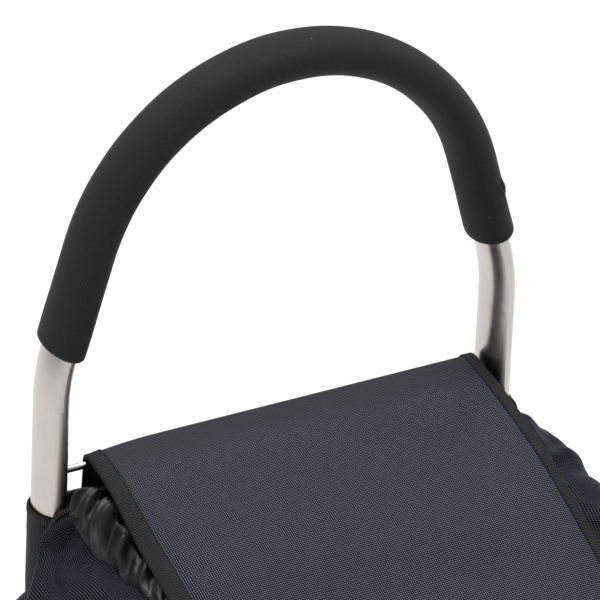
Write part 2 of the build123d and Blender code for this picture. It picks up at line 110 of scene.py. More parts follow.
def grid_object(name, points, body, material, close_rows=False, close_cols=False, flip=False,
                rows_at=None):
    """A surface through a grid of points, with a UV map in millimetres of cloth. rows_at gives
    the rows' distances along the cloth where the surface is too rough to measure them."""
    rows, cols = points.shape[:2]
    full = points
    if close_rows:
        full = np.concatenate([full, full[:1]], axis=0)
    if close_cols:
        full = np.concatenate([full, full[:, :1]], axis=1)
    v, u = arc_lengths(full)
    if rows_at is not None:
        v = np.asarray(rows_at, float)
    i, j = np.meshgrid(np.arange(full.shape[0] - 1), np.arange(full.shape[1] - 1), indexing="ij")
    i, j = i.ravel(), j.ravel()
    steps = ((0, 0), (0, 1), (1, 1), (1, 0))
    if flip:
        steps = steps[::-1]
    faces = np.stack([(i + a) % rows * cols + (j + b) % cols for a, b in steps], axis=1)
    uvs = np.stack([np.stack([u[j + b], v[i + a]], axis=1) for a, b in steps], axis=1)
    return mesh_object(name, points.reshape(-1, 3), faces, body, material, uvs)


def thicken(obj, thickness, level=0):
    """Turns a surface into cloth of a real thickness, smoothed first where level says so."""
    if level:
        smooth = obj.modifiers.new("smooth", "SUBSURF")
        smooth.levels = smooth.render_levels = level
        smooth.uv_smooth = "PRESERVE_BOUNDARIES"
    solid = obj.modifiers.new("cloth", "SOLIDIFY")
    solid.thickness = thickness * MM
    solid.offset = 0.0
    return obj


def join_grids(parts):
    """Vertices, faces and UVs of several grids as one mesh."""
    points, faces, uvs, start = [], [], [], 0
    for p, f, t in parts:
        points.append(p)
        faces.extend((np.asarray(f) + start).tolist())
        uvs.append(t)
        start += len(p)
    return np.concatenate(points), faces, np.concatenate(uvs)


def wander(x, y, z, size, seed=0.0):
    """Smooth noise from -1 to 1 that changes over about size millimetres."""
    return noise.noise(Vector((x / size + seed, y / size - seed, z / size + 2 * seed)))


def wander_grid(points, size, seed=0.0):
    flat = points.reshape(-1, 3)
    values = [wander(x, y, z, size, seed) for x, y, z in flat]
    return np.array(values).reshape(points.shape[:-1])


def ease(x, low, high):
    """0 below low, 1 above high, smooth between."""
    t = np.clip((x - low) / (high - low), 0, 1)
    return t * t * (3 - 2 * t)


def through(knots, values, t):
    """A smooth curve through values at knots (cubic, with slopes from the neighbours)."""
    knots, values, t = map(lambda a: np.asarray(a, float), (knots, values, t))
    slopes = np.gradient(values, knots, axis=0)
    k = np.clip(np.searchsorted(knots, t) - 1, 0, len(knots) - 2)
    h = knots[k + 1] - knots[k]
    s = (t - knots[k]) / h
    if values.ndim > 1:
        h, s = h[:, None], s[:, None]
    a, b, da, db = values[k], values[k + 1], slopes[k] * h, slopes[k + 1] * h
    return ((2 * s**3 - 3 * s**2 + 1) * a + (s**3 - 2 * s**2 + s) * da
            + (3 * s**2 - 2 * s**3) * b + (s**3 - s**2) * db)


def resample(line, step):
    """Points along a polyline at an even step."""
    line = np.asarray(line, float)
    lengths = np.concatenate([[0], np.cumsum(np.linalg.norm(np.diff(line, axis=0), axis=1))])
    count = max(2, int(round(lengths[-1] / step)) + 1)
    at = np.linspace(0, lengths[-1], count)
    return np.stack([np.interp(at, lengths, line[:, k]) for k in range(line.shape[1])], axis=1)


def arc(cx, cy, radius, start, end, step=1.0):
    """Points of an arc in a plane, angles in degrees."""
    count = max(3, int(abs(radians(end - start)) * radius / step) + 2)
    angle = np.radians(np.linspace(start, end, count))
    return np.stack([cx + radius * np.cos(angle), cy + radius * np.sin(angle)], axis=1)


def grid_normals(points):
    """Unit normals of a grid of points: along the rows crossed with along the columns."""
    a, b = np.gradient(points, axis=0), np.gradient(points, axis=1)
    n = np.cross(b, a)
    return n / np.maximum(np.linalg.norm(n, axis=2, keepdims=True), 1e-9)


# ---------------------------------------------------------------- materials

WEAVE_PITCH = 1.5
RIB_PITCH = 1.72


def new_material(name, slot_colour, roughness, metallic=0.0, specular=0.5):
    """A principled material and its node tree, with its plain values on the shader itself."""
    material = bpy.data.materials.new(name)
    material.use_nodes = True
    tree = material.node_tree
    shader = tree.nodes["Principled BSDF"]
    shader.inputs["Base Color"].default_value = (*slot_colour, 1)
    shader.inputs["Roughness"].default_value = roughness
    shader.inputs["Metallic"].default_value = metallic
    shader.inputs["Specular IOR Level"].default_value = specular
    return material, tree, shader


def node(tree, kind, **inputs):
    """A node with its unlinked inputs set by name; a link is given as an output socket."""
    made = tree.nodes.new(kind)
    for name, value in inputs.items():
        socket = made.inputs[int(name[1:])] if name[0] == "i" and name[1:].isdigit() else made.inputs[name]
        if isinstance(value, bpy.types.NodeSocket):
            tree.links.new(value, socket)
        else:
            socket.default_value = value
    return made


def math_node(tree, operation, a, b=0.0):
    made = node(tree, "ShaderNodeMath", i0=a, i1=b)
    made.operation = operation
    return made.outputs[0]


def ramp(tree, value, low, high, to_low=0.0, to_high=1.0):
    """A clamped linear map of one value."""
    made = node(tree, "ShaderNodeMapRange", Value=value)
    made.inputs["From Min"].default_value = low
    made.inputs["From Max"].default_value = high
    made.inputs["To Min"].default_value = to_low
    made.inputs["To Max"].default_value = to_high
    return made.outputs[0]


def mix_colour(tree, factor, a, b):
    made = tree.nodes.new("ShaderNodeMix")
    made.data_type = "RGBA"
    sockets = [s for s in made.inputs if s.type == "RGBA"]
    for socket, value in zip([made.inputs[0], *sockets], [factor, a, b]):
        if isinstance(value, bpy.types.NodeSocket):
            tree.links.new(value, socket)
        elif isinstance(value, (tuple, list)):
            socket.default_value = (*value, 1)
        else:
            socket.default_value = value
    return next(s for s in made.outputs if s.type == "RGBA")


def noise_value(tree, vector, scale, detail=2.0, roughness=0.5):
    made = node(tree, "ShaderNodeTexNoise", Vector=vector, Scale=scale, Detail=detail,
                Roughness=roughness)
    return made.outputs["Fac"]


def object_space(tree, stretch=(1, 1, 1)):
    """Object coordinates, in metres, stretched along an axis."""
    place = tree.nodes.new("ShaderNodeTexCoord").outputs["Object"]
    return node(tree, "ShaderNodeMapping", Vector=place, Scale=stretch).outputs[0]


def cloth_space(tree):
    """The cloth's own (across, along) coordinates in millimetres, as two values."""
    uv = tree.nodes.new("ShaderNodeUVMap")
    uv.uv_map = "Cloth"
    split = node(tree, "ShaderNodeSeparateXYZ", Vector=uv.outputs[0])
    return split.outputs[0], split.outputs[1]


def bump(tree, shader, height, distance, strength=1.0, after=None):
    made = node(tree, "ShaderNodeBump", Height=height, Distance=distance * MM, Strength=strength)
    if after is not None:
        tree.links.new(after, made.inputs["Normal"])
    tree.links.new(made.outputs[0], shader.inputs["Normal"])
    return made.outputs[0]


def link(tree, value, shader, name):
    tree.links.new(value, shader.inputs[name])


def oxford(name, dark, light, roughness, specular, sheen_end=None):
    """Coated oxford cloth: a plain weave whose raised threads show as light bluish dots. Up to the given end,
    in millimetres along the cloth, a painted sheen, a band of lighter grey, nearly hides them, and the cloth
    is glossier there."""
    material, tree, shader = new_material(name, dark, roughness, specular=specular)
    across, along = cloth_space(tree)
    waves = [math_node(tree, "SINE", math_node(tree, "MULTIPLY", v, pi / WEAVE_PITCH))
             for v in (across, along)]
    weave = math_node(tree, "ABSOLUTE", math_node(tree, "MULTIPLY", *waves))
    wide = noise_value(tree, object_space(tree), 22.0, 3.0)
    fine = noise_value(tree, object_space(tree), 900.0, 2.0)
    dots = ramp(tree, weave, 0.64, 0.96)
    dots = math_node(tree, "MULTIPLY", dots, ramp(tree, fine, 0.3, 0.7, 0.88, 1.0))
    dots = math_node(tree, "MULTIPLY", dots, ramp(tree, wide, 0.35, 0.7, 0.9, 1.05))
    gloss = ramp(tree, wide, 0.3, 0.7, roughness - 0.05, roughness + 0.08)
    base = mix_colour(tree, dots, dark, light)
    if sheen_end is not None:
        edge = math_node(tree, "ADD", along, ramp(tree, wide, 0.2, 0.8, -7.0, 7.0))
        sheen_band = ramp(tree, edge, sheen_end - 10, sheen_end + 8, 0.72, 0.0)
        # painted sheen: toward the lid's back fold the colour is mixed toward a lighter grey that hides the
        # dots
        base = mix_colour(tree, sheen_band, base, (0.033, 0.034, 0.041))
        gloss = math_node(tree, "SUBTRACT", gloss, math_node(tree, "MULTIPLY", sheen_band, 0.12))
    link(tree, base, shader, "Base Color")
    link(tree, gloss, shader, "Roughness")
    height = math_node(tree, "POWER", weave, 0.6)
    coarse = bump(tree, shader, wide, 0.5, 0.5)
    bump(tree, shader, height, 0.12, 0.6, after=coarse)
    return material


def ribbed_tape(name, pitch, colour, roughness):
    """Woven binding tape: dark, with painted highlights on the crests of its thread ridges, and a fine bump
    of its own.
    """
    material, tree, shader = new_material(name, colour, roughness, specular=0.2)
    across, along = cloth_space(tree)
    rib = math_node(tree, "COSINE", math_node(tree, "MULTIPLY", along, 2 * pi / pitch))
    thread = math_node(tree, "SINE", math_node(tree, "MULTIPLY", across, 2 * pi / (pitch * 0.55)))
    fine = noise_value(tree, object_space(tree), 1400.0, 2.0)
    # painted highlight: the rib crests are mixed toward a colour 26 times lighter
    light = math_node(tree, "MULTIPLY", ramp(tree, rib, 0.0, 0.9), ramp(tree, thread, -1, 1, 0.55, 1))
    pale = tuple(min(1.0, c * 26) for c in colour)
    link(tree, mix_colour(tree, light, colour, pale), shader, "Base Color")
    first = bump(tree, shader, fine, 0.05, 0.6)
    first = bump(tree, shader, rib, 0.15, 0.9, after=first)
    bump(tree, shader, thread, 0.04, 0.6, after=first)
    return material


def nylon():
    material, tree, shader = new_material("thin_nylon", (0.0055, 0.0056, 0.0072), 0.24, specular=0.6)
    across, along = cloth_space(tree)
    waves = [math_node(tree, "SINE", math_node(tree, "MULTIPLY", v, 2 * pi / 0.45))
             for v in (across, along)]
    weave = math_node(tree, "MULTIPLY", *waves)
    crumple = noise_value(tree, object_space(tree), 160.0, 4.0, 0.6)
    link(tree, ramp(tree, crumple, 0.3, 0.7, 0.2, 0.34), shader, "Roughness")
    first = bump(tree, shader, crumple, 0.7, 0.5)
    bump(tree, shader, weave, 0.03, 0.5, after=first)
    shader.inputs["Sheen Weight"].default_value = 0.05
    return material


def foam():
    """Closed-cell foam: a speckled grain, a few pits and pinholes with painted shade in them, and specks of
    dust.
    """
    material, tree, shader = new_material("foam", (0.0155, 0.0142, 0.0165), 0.8, specular=0.3)
    place = object_space(tree)
    pits = node(tree, "ShaderNodeTexVoronoi", Vector=place, Scale=30.0)
    chosen = node(tree, "ShaderNodeSeparateXYZ", Vector=pits.outputs["Color"])
    pit = math_node(tree, "MULTIPLY", ramp(tree, pits.outputs["Distance"], 0.055, 0.03),
                    ramp(tree, chosen.outputs[0], 0.45, 0.5))
    pins = node(tree, "ShaderNodeTexVoronoi", Vector=place, Scale=150.0)
    pin = ramp(tree, pins.outputs["Distance"], 0.09, 0.05)
    pin = math_node(tree, "MULTIPLY", pin, ramp(tree, noise_value(tree, place, 55.0), 0.52, 0.56))
    hole_shade = math_node(tree, "MAXIMUM", pit, pin)
    specks = node(tree, "ShaderNodeTexVoronoi", Vector=place, Scale=85.0)
    few = node(tree, "ShaderNodeSeparateXYZ", Vector=specks.outputs["Color"])
    dust = math_node(tree, "MULTIPLY", ramp(tree, specks.outputs["Distance"], 0.045, 0.03),
                     ramp(tree, few.outputs[1], 0.7, 0.75))
    grain = noise_value(tree, place, 1050.0, 3.0, 0.65)
    patch = noise_value(tree, place, 45.0, 3.0)
    base = mix_colour(tree, ramp(tree, patch, 0.3, 0.7), (0.0125, 0.0113, 0.0133), (0.0175, 0.016, 0.0185))
    base = mix_colour(tree, ramp(tree, grain, 0.56, 0.72, 0.0, 0.8), base, (0.034, 0.032, 0.036))
    base = mix_colour(tree, ramp(tree, grain, 0.44, 0.3, 0.0, 0.8), base, (0.003, 0.003, 0.0035))
    # painted shade: the pits and pinholes, a bump only, are coloured near black
    base = mix_colour(tree, hole_shade, base, (0.0015, 0.0015, 0.0015))
    base = mix_colour(tree, dust, base, (0.16, 0.15, 0.15))
    link(tree, base, shader, "Base Color")
    link(tree, ramp(tree, patch, 0.3, 0.7, 0.74, 0.88), shader, "Roughness")
    solid = math_node(tree, "SUBTRACT", 1.0, hole_shade)
    first = bump(tree, shader, solid, 0.8, 1.0)
    bump(tree, shader, grain, 0.16, 0.8, after=first)
    shader.inputs["Sheen Weight"].default_value = 0.06
    shader.inputs["Sheen Roughness"].default_value = 0.5
    return material


def aluminium():
    """Satin anodised tube: faint draw lines along it, a few fine scratches."""
    material, tree, shader = new_material("aluminium", (0.56, 0.53, 0.51), 0.3, metallic=1.0)
    lines = noise_value(tree, object_space(tree, (900, 900, 6)), 1.0, 3.0, 0.6)
    cloud = noise_value(tree, object_space(tree), 30.0, 3.0)
    scratch = noise_value(tree, object_space(tree, (500, 500, 60)), 1.0, 1.0)
    scratch = ramp(tree, scratch, 0.74, 0.76)
    link(tree, mix_colour(tree, ramp(tree, cloud, 0.3, 0.7), (0.54, 0.51, 0.488), (0.60, 0.57, 0.55)),
         shader, "Base Color")
    link(tree, ramp(tree, lines, 0.25, 0.75, 0.25, 0.34), shader, "Roughness")
    first = bump(tree, shader, lines, 0.01, 0.25)
    bump(tree, shader, scratch, 0.03, 0.7, after=first)
    return material


def metal(name, colour, roughness, grain=800.0, depth=0.02):
    material, tree, shader = new_material(name, colour, roughness, metallic=1.0)
    fine = noise_value(tree, object_space(tree), grain, 3.0)
    cloud = noise_value(tree, object_space(tree), 60.0, 3.0)
    dull = tuple(c * 0.8 for c in colour)
    link(tree, mix_colour(tree, ramp(tree, cloud, 0.35, 0.7), colour, dull), shader, "Base Color")
    link(tree, ramp(tree, cloud, 0.3, 0.7, roughness * 0.8, roughness * 1.4), shader, "Roughness")
    bump(tree, shader, fine, depth, 0.5)
    return material


def plastic(name, colour, roughness, grain=1100.0, depth=0.04, dust=0.25):
    """Moulded plastic or rubber: a fine texture, uneven gloss and a little dust."""
    material, tree, shader = new_material(name, colour, roughness)
    fine = noise_value(tree, object_space(tree), grain, 3.0, 0.6)
    cloud = noise_value(tree, object_space(tree), 35.0, 4.0)
    dusty = tuple(c * (1 - 0.12 * dust) + 0.12 * dust * 0.5 for c in colour)
    link(tree, mix_colour(tree, ramp(tree, cloud, 0.45, 0.75), colour, dusty), shader, "Base Color")
    link(tree, ramp(tree, cloud, 0.3, 0.7, roughness * 0.85, roughness * 1.15), shader, "Roughness")
    bump(tree, shader, fine, depth, 0.7)
    return material


def painted():
    material, tree, shader = new_material("painted_rod", (0.012, 0.012, 0.013), 0.35)
    peel = noise_value(tree, object_space(tree), 420.0, 2.0)
    worn = ramp(tree, noise_value(tree, object_space(tree), 70.0, 5.0, 0.7), 0.68, 0.72)
    link(tree, mix_colour(tree, worn, (0.012, 0.012, 0.013), (0.05, 0.05, 0.05)), shader, "Base Color")
    link(tree, ramp(tree, peel, 0.3, 0.7, 0.28, 0.42), shader, "Roughness")
    bump(tree, shader, peel, 0.05, 0.5)
    return material


def fuzz(name, colour, scale):
    """Hook-and-loop pile: dense tiny loops or hooks as a strong bump."""
    material, tree, shader = new_material(name, colour, 0.8)
    cells = node(tree, "ShaderNodeTexVoronoi", Vector=object_space(tree), Scale=scale)
    pile = cells.outputs["Distance"]
    pale = tuple(c * 4 for c in colour)
    link(tree, mix_colour(tree, ramp(tree, pile, 0.1, 0.6), pale, colour), shader, "Base Color")
    bump(tree, shader, pile, 0.5, 0.9)
    shader.inputs["Sheen Weight"].default_value = 0.3
    return material


OXFORD_DARK, OXFORD_DOTS = (0.0005, 0.0006, 0.001), (0.50, 0.545, 0.74)
# One cloth for the lid and the bag: the bag's dots are dimmed to 0.36 of the full colour against the lid's
# 0.77, as painted shade on the bag's darker sides. OXFORD, the dimmed copy, also dresses the skirt behind the
# rod.
LID_DOTS, SHADED_BAG_DOTS = (tuple(share * c for c in OXFORD_DOTS) for share in (0.77, 0.36))
LID_OXFORD = oxford("oxford_lid", OXFORD_DARK, LID_DOTS, 0.45, 0.08, sheen_end=38.0)
OXFORD = oxford("oxford_cloth", OXFORD_DARK, SHADED_BAG_DOTS, 0.45, 0.04)
OXFORD_DULL = oxford("oxford_inside", (0.003, 0.003, 0.004), (0.06, 0.062, 0.075), 0.6, 0.2)
TAPE = ribbed_tape("binding_tape", RIB_PITCH, (0.0028, 0.0028, 0.003), 0.62)
THREAD = ribbed_tape("thread", 0.6, (0.001, 0.001, 0.001), 0.5)
NYLON = nylon()
FOAM = foam()
ALUMINIUM = aluminium()
CHROME = metal("chrome_rod", (0.72, 0.73, 0.74), 0.1, 300.0, 0.004)
STEEL = metal("steel", (0.55, 0.55, 0.54), 0.32)
PAINTED = painted()
BLACK_PLASTIC = plastic("black_plastic", (0.016, 0.016, 0.017), 0.45)
GREY_PLASTIC = plastic("grey_plastic", (0.2, 0.205, 0.21), 0.42)
BUSH_PLASTIC = plastic("bush_plastic", (0.6, 0.58, 0.53), 0.4, dust=0.0)
FOOT_RUBBER = plastic("foot_rubber", (0.014, 0.014, 0.014), 0.7, 700.0, 0.08)
TYRE_RUBBER = plastic("tyre", (0.018, 0.018, 0.018), 0.68, 600.0, 0.1, dust=0.6)
BOARD = plastic("board", (0.03, 0.03, 0.031), 0.5, 260.0, 0.1)
LOOP_PILE = fuzz("loop_pile", (0.006, 0.006, 0.006), 1500.0)
HOOK_PILE = fuzz("hook_pile", (0.007, 0.007, 0.007), 1100.0)


# ---------------------------------------------------------------- camera and studio

APEX = Vector((0, LEG_Y, GRIP_TOP - 15.4)) * MM      # top of the handle tube's centre line
AZIMUTH, ELEVATION, ROLL = radians(-31.485), radians(28.444), radians(2.475)
DISTANCE = 5.0
LENS = 450.9
AIM = (-7.0, 162.6)                                  # the picture's middle, from the apex


def make_camera():
    back = Vector((sin(AZIMUTH) * cos(ELEVATION), -cos(AZIMUTH) * cos(ELEVATION), sin(ELEVATION)))
    right = Vector((cos(AZIMUTH), sin(AZIMUTH), 0))
    up = back.cross(right)
    right, up = (cos(ROLL) * right + sin(ROLL) * up, -sin(ROLL) * right + cos(ROLL) * up)
    data = bpy.data.cameras.new("camera")
    data.lens, data.sensor_width = LENS, 36.0
    data.clip_start, data.clip_end = 0.1, 400.0
    camera = bpy.data.objects.new("camera", data)
    bpy.context.scene.collection.objects.link(camera)
    place = APEX - (right * AIM[0] + up * AIM[1]) * MM + back * DISTANCE
    turn = Matrix((right, up, back)).transposed().to_4x4()
    camera.matrix_world = Matrix.Translation(place) @ turn
    bpy.context.scene.camera = camera
    return right, up, back


def area_light(name, place, aim, size, power, colour=(1, 1, 1)):
    data = bpy.data.lights.new(name, "AREA")
    data.shape, data.size = "DISK", size
    data.energy, data.color = power, colour
    light = bpy.data.objects.new(name, data)
    bpy.context.scene.collection.objects.link(light)
    light.location = place
    light.rotation_euler = (Vector(aim) - Vector(place)).to_track_quat("-Z", "Y").to_euler()


def make_studio():
    floor = bpy.data.meshes.new("floor")
    far = 150.0
    floor.from_pydata([(-far, -far, 0), (far, -far, 0), (far, far, 0), (-far, far, 0)], [], [(0, 1, 2, 3)])
    obj = bpy.data.objects.new("floor", floor)
    bpy.context.scene.collection.objects.link(obj)
    paint, _, _ = new_material("floor", (0.95, 0.95, 0.95), 0.9, specular=0.1)
    floor.materials.append(paint)
    world = bpy.data.worlds.new("studio")
    bpy.context.scene.world = world
    world.use_nodes = True
    sky = world.node_tree.nodes["Background"]
    sky.inputs[0].default_value = (1, 1, 1, 1)
    sky.inputs[1].default_value = 0.36
    view = bpy.context.scene.view_settings
    view.view_transform = "Standard"
    aim = APEX - Vector((0, 0, 0.3))
    area_light("softbox", aim + Vector((0.6, 1.3, 6.0)), aim, 8.5, 490, (1.0, 0.99, 0.98))
    area_light("fill", aim + Vector((-2.6, -1.8, 1.4)), aim, 1.6, 10, (1.0, 0.96, 0.92))


# ---------------------------------------------------------------- foam grip

ARCH_RADIUS = 155.0
ARCH_HALF_ANGLE = 73.5
LEG_BEND_RADIUS = 140.0
SPLAY = 90 - ARCH_HALF_ANGLE
FOAM_X = 15.4
BORE_GAP = 0.3
LIP = 3.2
GRIP_SHORT = 10.5            # the right end stops a little higher than the left


def grip_line(step):
    """Centre line of the grip, left end to right end, as (x, z) points."""
    centre_z = GRIP_TOP - FOAM_X - ARCH_RADIUS
    end_x, end_z = ARCH_RADIUS * sin(radians(ARCH_HALF_ANGLE)), ARCH_RADIUS * cos(radians(ARCH_HALF_ANGLE))
    low_x = LEG_X - LEG_BEND_RADIUS * (1 - cos(radians(SPLAY)))
    low_z = centre_z + end_z - (low_x - end_x) / sin(radians(SPLAY)) * cos(radians(SPLAY))
    top = arc(0, centre_z, ARCH_RADIUS, 90 + ARCH_HALF_ANGLE, 90 - ARCH_HALF_ANGLE)
    line = np.concatenate([[(-low_x, low_z)], top, [(low_x, low_z)]])
    return resample(line, step)


def foam_grip():
    step, around = 1.5, 96
    line = grip_line(step)[:-int(GRIP_SHORT / step)]
    length = step * (len(line) - 1)
    at = np.arange(len(line)) * step
    lips = np.array([0, 0.35, 0.8, 1.5, 2.4])
    stations = np.concatenate([lips, at[(at > LIP) & (at < length - LIP)], (length - lips)[::-1]])
    swell = np.array([1 - (1 - min(1, min(s, length - s) / LIP)) ** 2 for s in stations]) ** 0.5
    stations = np.concatenate([stations, np.linspace(length, 0, 60)])
    swell = np.concatenate([swell, np.zeros(60)])
    angle = np.linspace(0, 2 * pi, around, endpoint=False)
    tangent = np.gradient(line, axis=0)
    tangent /= np.linalg.norm(tangent, axis=1, keepdims=True)
    rows = []
    for s, w in zip(stations, swell):
        centre = [np.interp(s, at, line[:, k]) for k in (0, 1)]
        t = [np.interp(s, at, tangent[:, k]) for k in (0, 1)]
        out = (-t[1], t[0])                        # away from the arch's middle
        bore_x, bore_y = TUBE_X + BORE_GAP, TUBE_Y + BORE_GAP
        half_x, half_y = bore_x + w * (FOAM_X - bore_x), bore_y + w * (GRIP_Y - bore_y)
        if w > 0.9:
            dent = [0.35 * wander(s, 40 * cos(a), 40 * sin(a), 34, 3.0) for a in angle]
        else:
            dent = np.zeros(around)
        along, turned = s - (length - 38), np.angle(np.exp(1j * (angle - radians(-47))))
        tear = np.clip(1 - np.abs(along) / 11, 0, 1) ** 0.6
        off = np.abs(turned - 0.022 * along)
        vee = tear * (np.clip(1 - off / 0.13, 0, 1) - 0.35 * np.clip(1 - np.abs(off - 0.22) / 0.12, 0, 1))
        dent = np.asarray(dent) - (4.2 * vee if w > 0.9 else 0)
        across = (half_x + dent) * np.cos(angle)
        depth = (half_y + dent) * np.sin(angle)
        slant = 0.13 * depth * max(0.0, 1 - s / 45)             # the left end is cut a little askew
        rows.append(np.stack([centre[0] + across * out[0] + slant * t[0], depth,
                              centre[1] + across * out[1] + slant * t[1]], axis=1))
    grip = grid_object("foam_grip_skin", np.array(rows), "root", FOAM, close_rows=True, close_cols=True)
    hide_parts("foam_grip")


# ---------------------------------------------------------------- lid

ROLL_RADIUS = 8.5
LID_SLOPE = 12.0
LID_FLAT = 30.0
CROWN_RADIUS = 459.0
FRONT_SLOPE = 28.0
FRONT_RADIUS = 66.0
LID_THICKNESS = 1.3
SPLIT_Y = -30.0              # behind this the lid's roll is made as a piece of its own
TAPE_LEFT, TAPE_RIGHT, TAPE_HEM = 13.0, 8.5, 10.0
LID_FRONT = corners("lid_binding")[0][1] + 1.5


def lid_line():
    """The lid in side view, from behind the rod to the hem, as evenly spaced (y, z) points."""
    a, b = radians(LID_SLOPE), radians(FRONT_SLOPE)
    roll = arc(0, ROD_Z, ROLL_RADIUS, 0, 90 + LID_SLOPE, 0.4)
    start = roll[-1] + LID_FLAT * np.array([-cos(a), -sin(a)])
    crown_centre = start + CROWN_RADIUS * np.array([sin(a), -cos(a)])
    crown = arc(*crown_centre, CROWN_RADIUS, 90 + LID_SLOPE, 90 + FRONT_SLOPE)
    turn_y = LID_FRONT + FRONT_RADIUS * (1 - sin(b))
    turn_z = crown[-1][1] - (crown[-1][0] - turn_y) * sin(b) / cos(b)
    low_z = turn_z - FRONT_RADIUS * cos(b)
    turn = arc(LID_FRONT + FRONT_RADIUS, low_z, FRONT_RADIUS, 90 + FRONT_SLOPE, 180)
    return np.concatenate([roll, crown, turn, [(LID_FRONT, LID_HEM)]])


LINE = resample(lid_line(), 0.25)
LINE_LENGTH = 0.25 * (len(LINE) - 1)
LINE_AT = np.arange(len(LINE)) * 0.25
SPLIT_AT = float(np.interp(-SPLIT_Y, -LINE[:, 0], LINE_AT))


def droop(x, y):
    """How far the lid's side edges hang below its line, for places x and y."""
    forward = ease(-y, -SPLIT_Y, 95)
    hanging = ease(-y, 205, 243)
    left = np.clip((LID_LEFT + 46 - x) / 46, 0, 1) ** 2
    right = np.clip((x - LID_RIGHT + 30) / 30, 0, 1) ** 2
    corner = np.clip((LID_LEFT + 60 - x) / 60, 0, 1) ** 2
    return (left * forward * (11.0 - 7.5 * hanging) + right * forward * (3.0 - 1.5 * hanging)
            + corner * 3.5 * (1 - hanging))


def lid_surface(s, x):
    """Points of the lid's middle surface at arc lengths s (rows) and places x (columns)."""
    y = np.interp(s, LINE_AT, LINE[:, 0])[:, None]
    z = np.interp(s, LINE_AT, LINE[:, 1])[:, None]
    slope = np.gradient(LINE, axis=0)
    slope /= np.linalg.norm(slope, axis=1, keepdims=True)
    ny = np.interp(s, LINE_AT, slope[:, 1])[:, None]
    nz = np.interp(s, LINE_AT, -slope[:, 0])[:, None]
    x = np.asarray(x, float)[None, :]
    waves = np.array([[1.5 * wander(a, b, 0, 85, 1.3) + 0.5 * wander(a, b, 9, 38, 4.1) for a in x[0]]
                      for b in s])
    free = ease(-y, -SPLIT_Y, 75) * (1 - 0.85 * ease(-y, 215, 243))
    sag = 1.2 * np.cos(pi * (np.clip((x - LID_LEFT) / (LID_RIGHT - LID_LEFT), 0, 1) - 0.5))
    lift = waves * free - sag * free - droop(x, y)
    x = x + 3.0 * np.clip((LID_LEFT + 46 - x) / 46, 0, 1) * (1 - ease(-y, 5, 60))
    return np.stack([np.broadcast_to(x, lift.shape), y + ny * lift, z + nz * lift], axis=2)


def lid_height(x, y):
    """Height of the lid's line over places x and y, its edges' droop included."""
    over = LINE[np.argmax(LINE[:, 1]):]
    return np.interp(-y, -over[:, 0], over[:, 1]) - droop(x, y)


def lid_rows(start, end, step):
    return np.linspace(start, end, max(2, int(round((end - start) / step)) + 1))


def squash_lid(obj):
    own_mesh(obj)


def tape_strip(name, s, edge, inward, width, body):
    """A tape folded over one side edge of the lid, with its cross ribs."""
    half = LID_THICKNESS / 2 + 0.75
    top = [(width * k, half) for k in (1, 0.99, 0.8, 0.6, 0.4, 0.2, 0.07)]
    nose = [(0.9 - half * sin(radians(a)), half * cos(radians(a))) for a in (30, 60, 90, 120, 150)]
    low = [(d, -h) for d, h in reversed(top)]
    section = [(width * 0.995, half - 0.7)] + top + nose + low + [(width * 0.995, -half + 0.7)]
    across = np.array([d for d, _ in section])
    heights = np.array([h for _, h in section])
    x = edge + inward * across
    order = np.argsort(x)
    points = np.empty((len(s), len(x), 3))
    points[:, order] = lid_surface(s, x[order])
    lifted = lid_surface(s, np.array([edge + inward * 0.5, edge + inward * 4.5]))
    along = np.gradient(points.mean(1), axis=0)
    sideways = lifted[:, 1] - lifted[:, 0]
    normal = np.cross(sideways, along) * inward
    normal /= np.linalg.norm(normal, axis=1, keepdims=True)
    normal *= np.sign(normal[:, 2:3] - normal[:, 1:2])
    rib = 0.3 * np.cos(2 * pi * s / RIB_PITCH)
    grow = heights + np.sign(heights) * rib[:, None] * (across < width * 0.99)
    points += normal[:, None, :] * grow[:, :, None]
    return grid_object(name, points, body, TAPE, close_cols=True, flip=inward > 0, rows_at=s)


def stitches(name, places, normals, body):
    """Short raised thread stitches along a line of points; places and normals are arrays."""
    parts = []
    ring = [(cos(a), sin(a)) for a in np.linspace(0, 2 * pi, 6, endpoint=False)]
    pitch = 3.0
    lengths = np.concatenate([[0], np.cumsum(np.linalg.norm(np.diff(places, axis=0), axis=1))])
    for start in np.arange(1, lengths[-1] - pitch, pitch):
        ends = start + np.array([0, 0.25, 0.8, 1.5, 1.95, 2.2])
        swell = np.array([0.05, 0.7, 1, 1, 0.7, 0.05]) * 0.33
        rise = np.array([-0.1, 0.1, 0.25, 0.25, 0.1, -0.1])
        line = np.stack([np.interp(ends, lengths, places[:, k]) for k in range(3)], axis=1)
        up = np.stack([np.interp(ends, lengths, normals[:, k]) for k in range(3)], axis=1)
        tangent = line[-1] - line[0]
        side = np.cross(tangent, up[0])
        side /= np.linalg.norm(side)
        rows = [c + u * r + np.array([side * a * w + u * b * w for a, b in ring])
                for c, u, r, w in zip(line, up, rise, swell)]
        points = np.concatenate(rows)
        n = len(ring)
        faces = [(i * n + j, i * n + (j + 1) % n, (i + 1) * n + (j + 1) % n, (i + 1) * n + j)
                 for i in range(len(rows) - 1) for j in range(n)]
        parts.append((points, faces, np.zeros((len(faces) * 4, 2))))
    points, faces, uvs = join_grids(parts)
    return mesh_object(name, points, faces, body, THREAD, uvs)


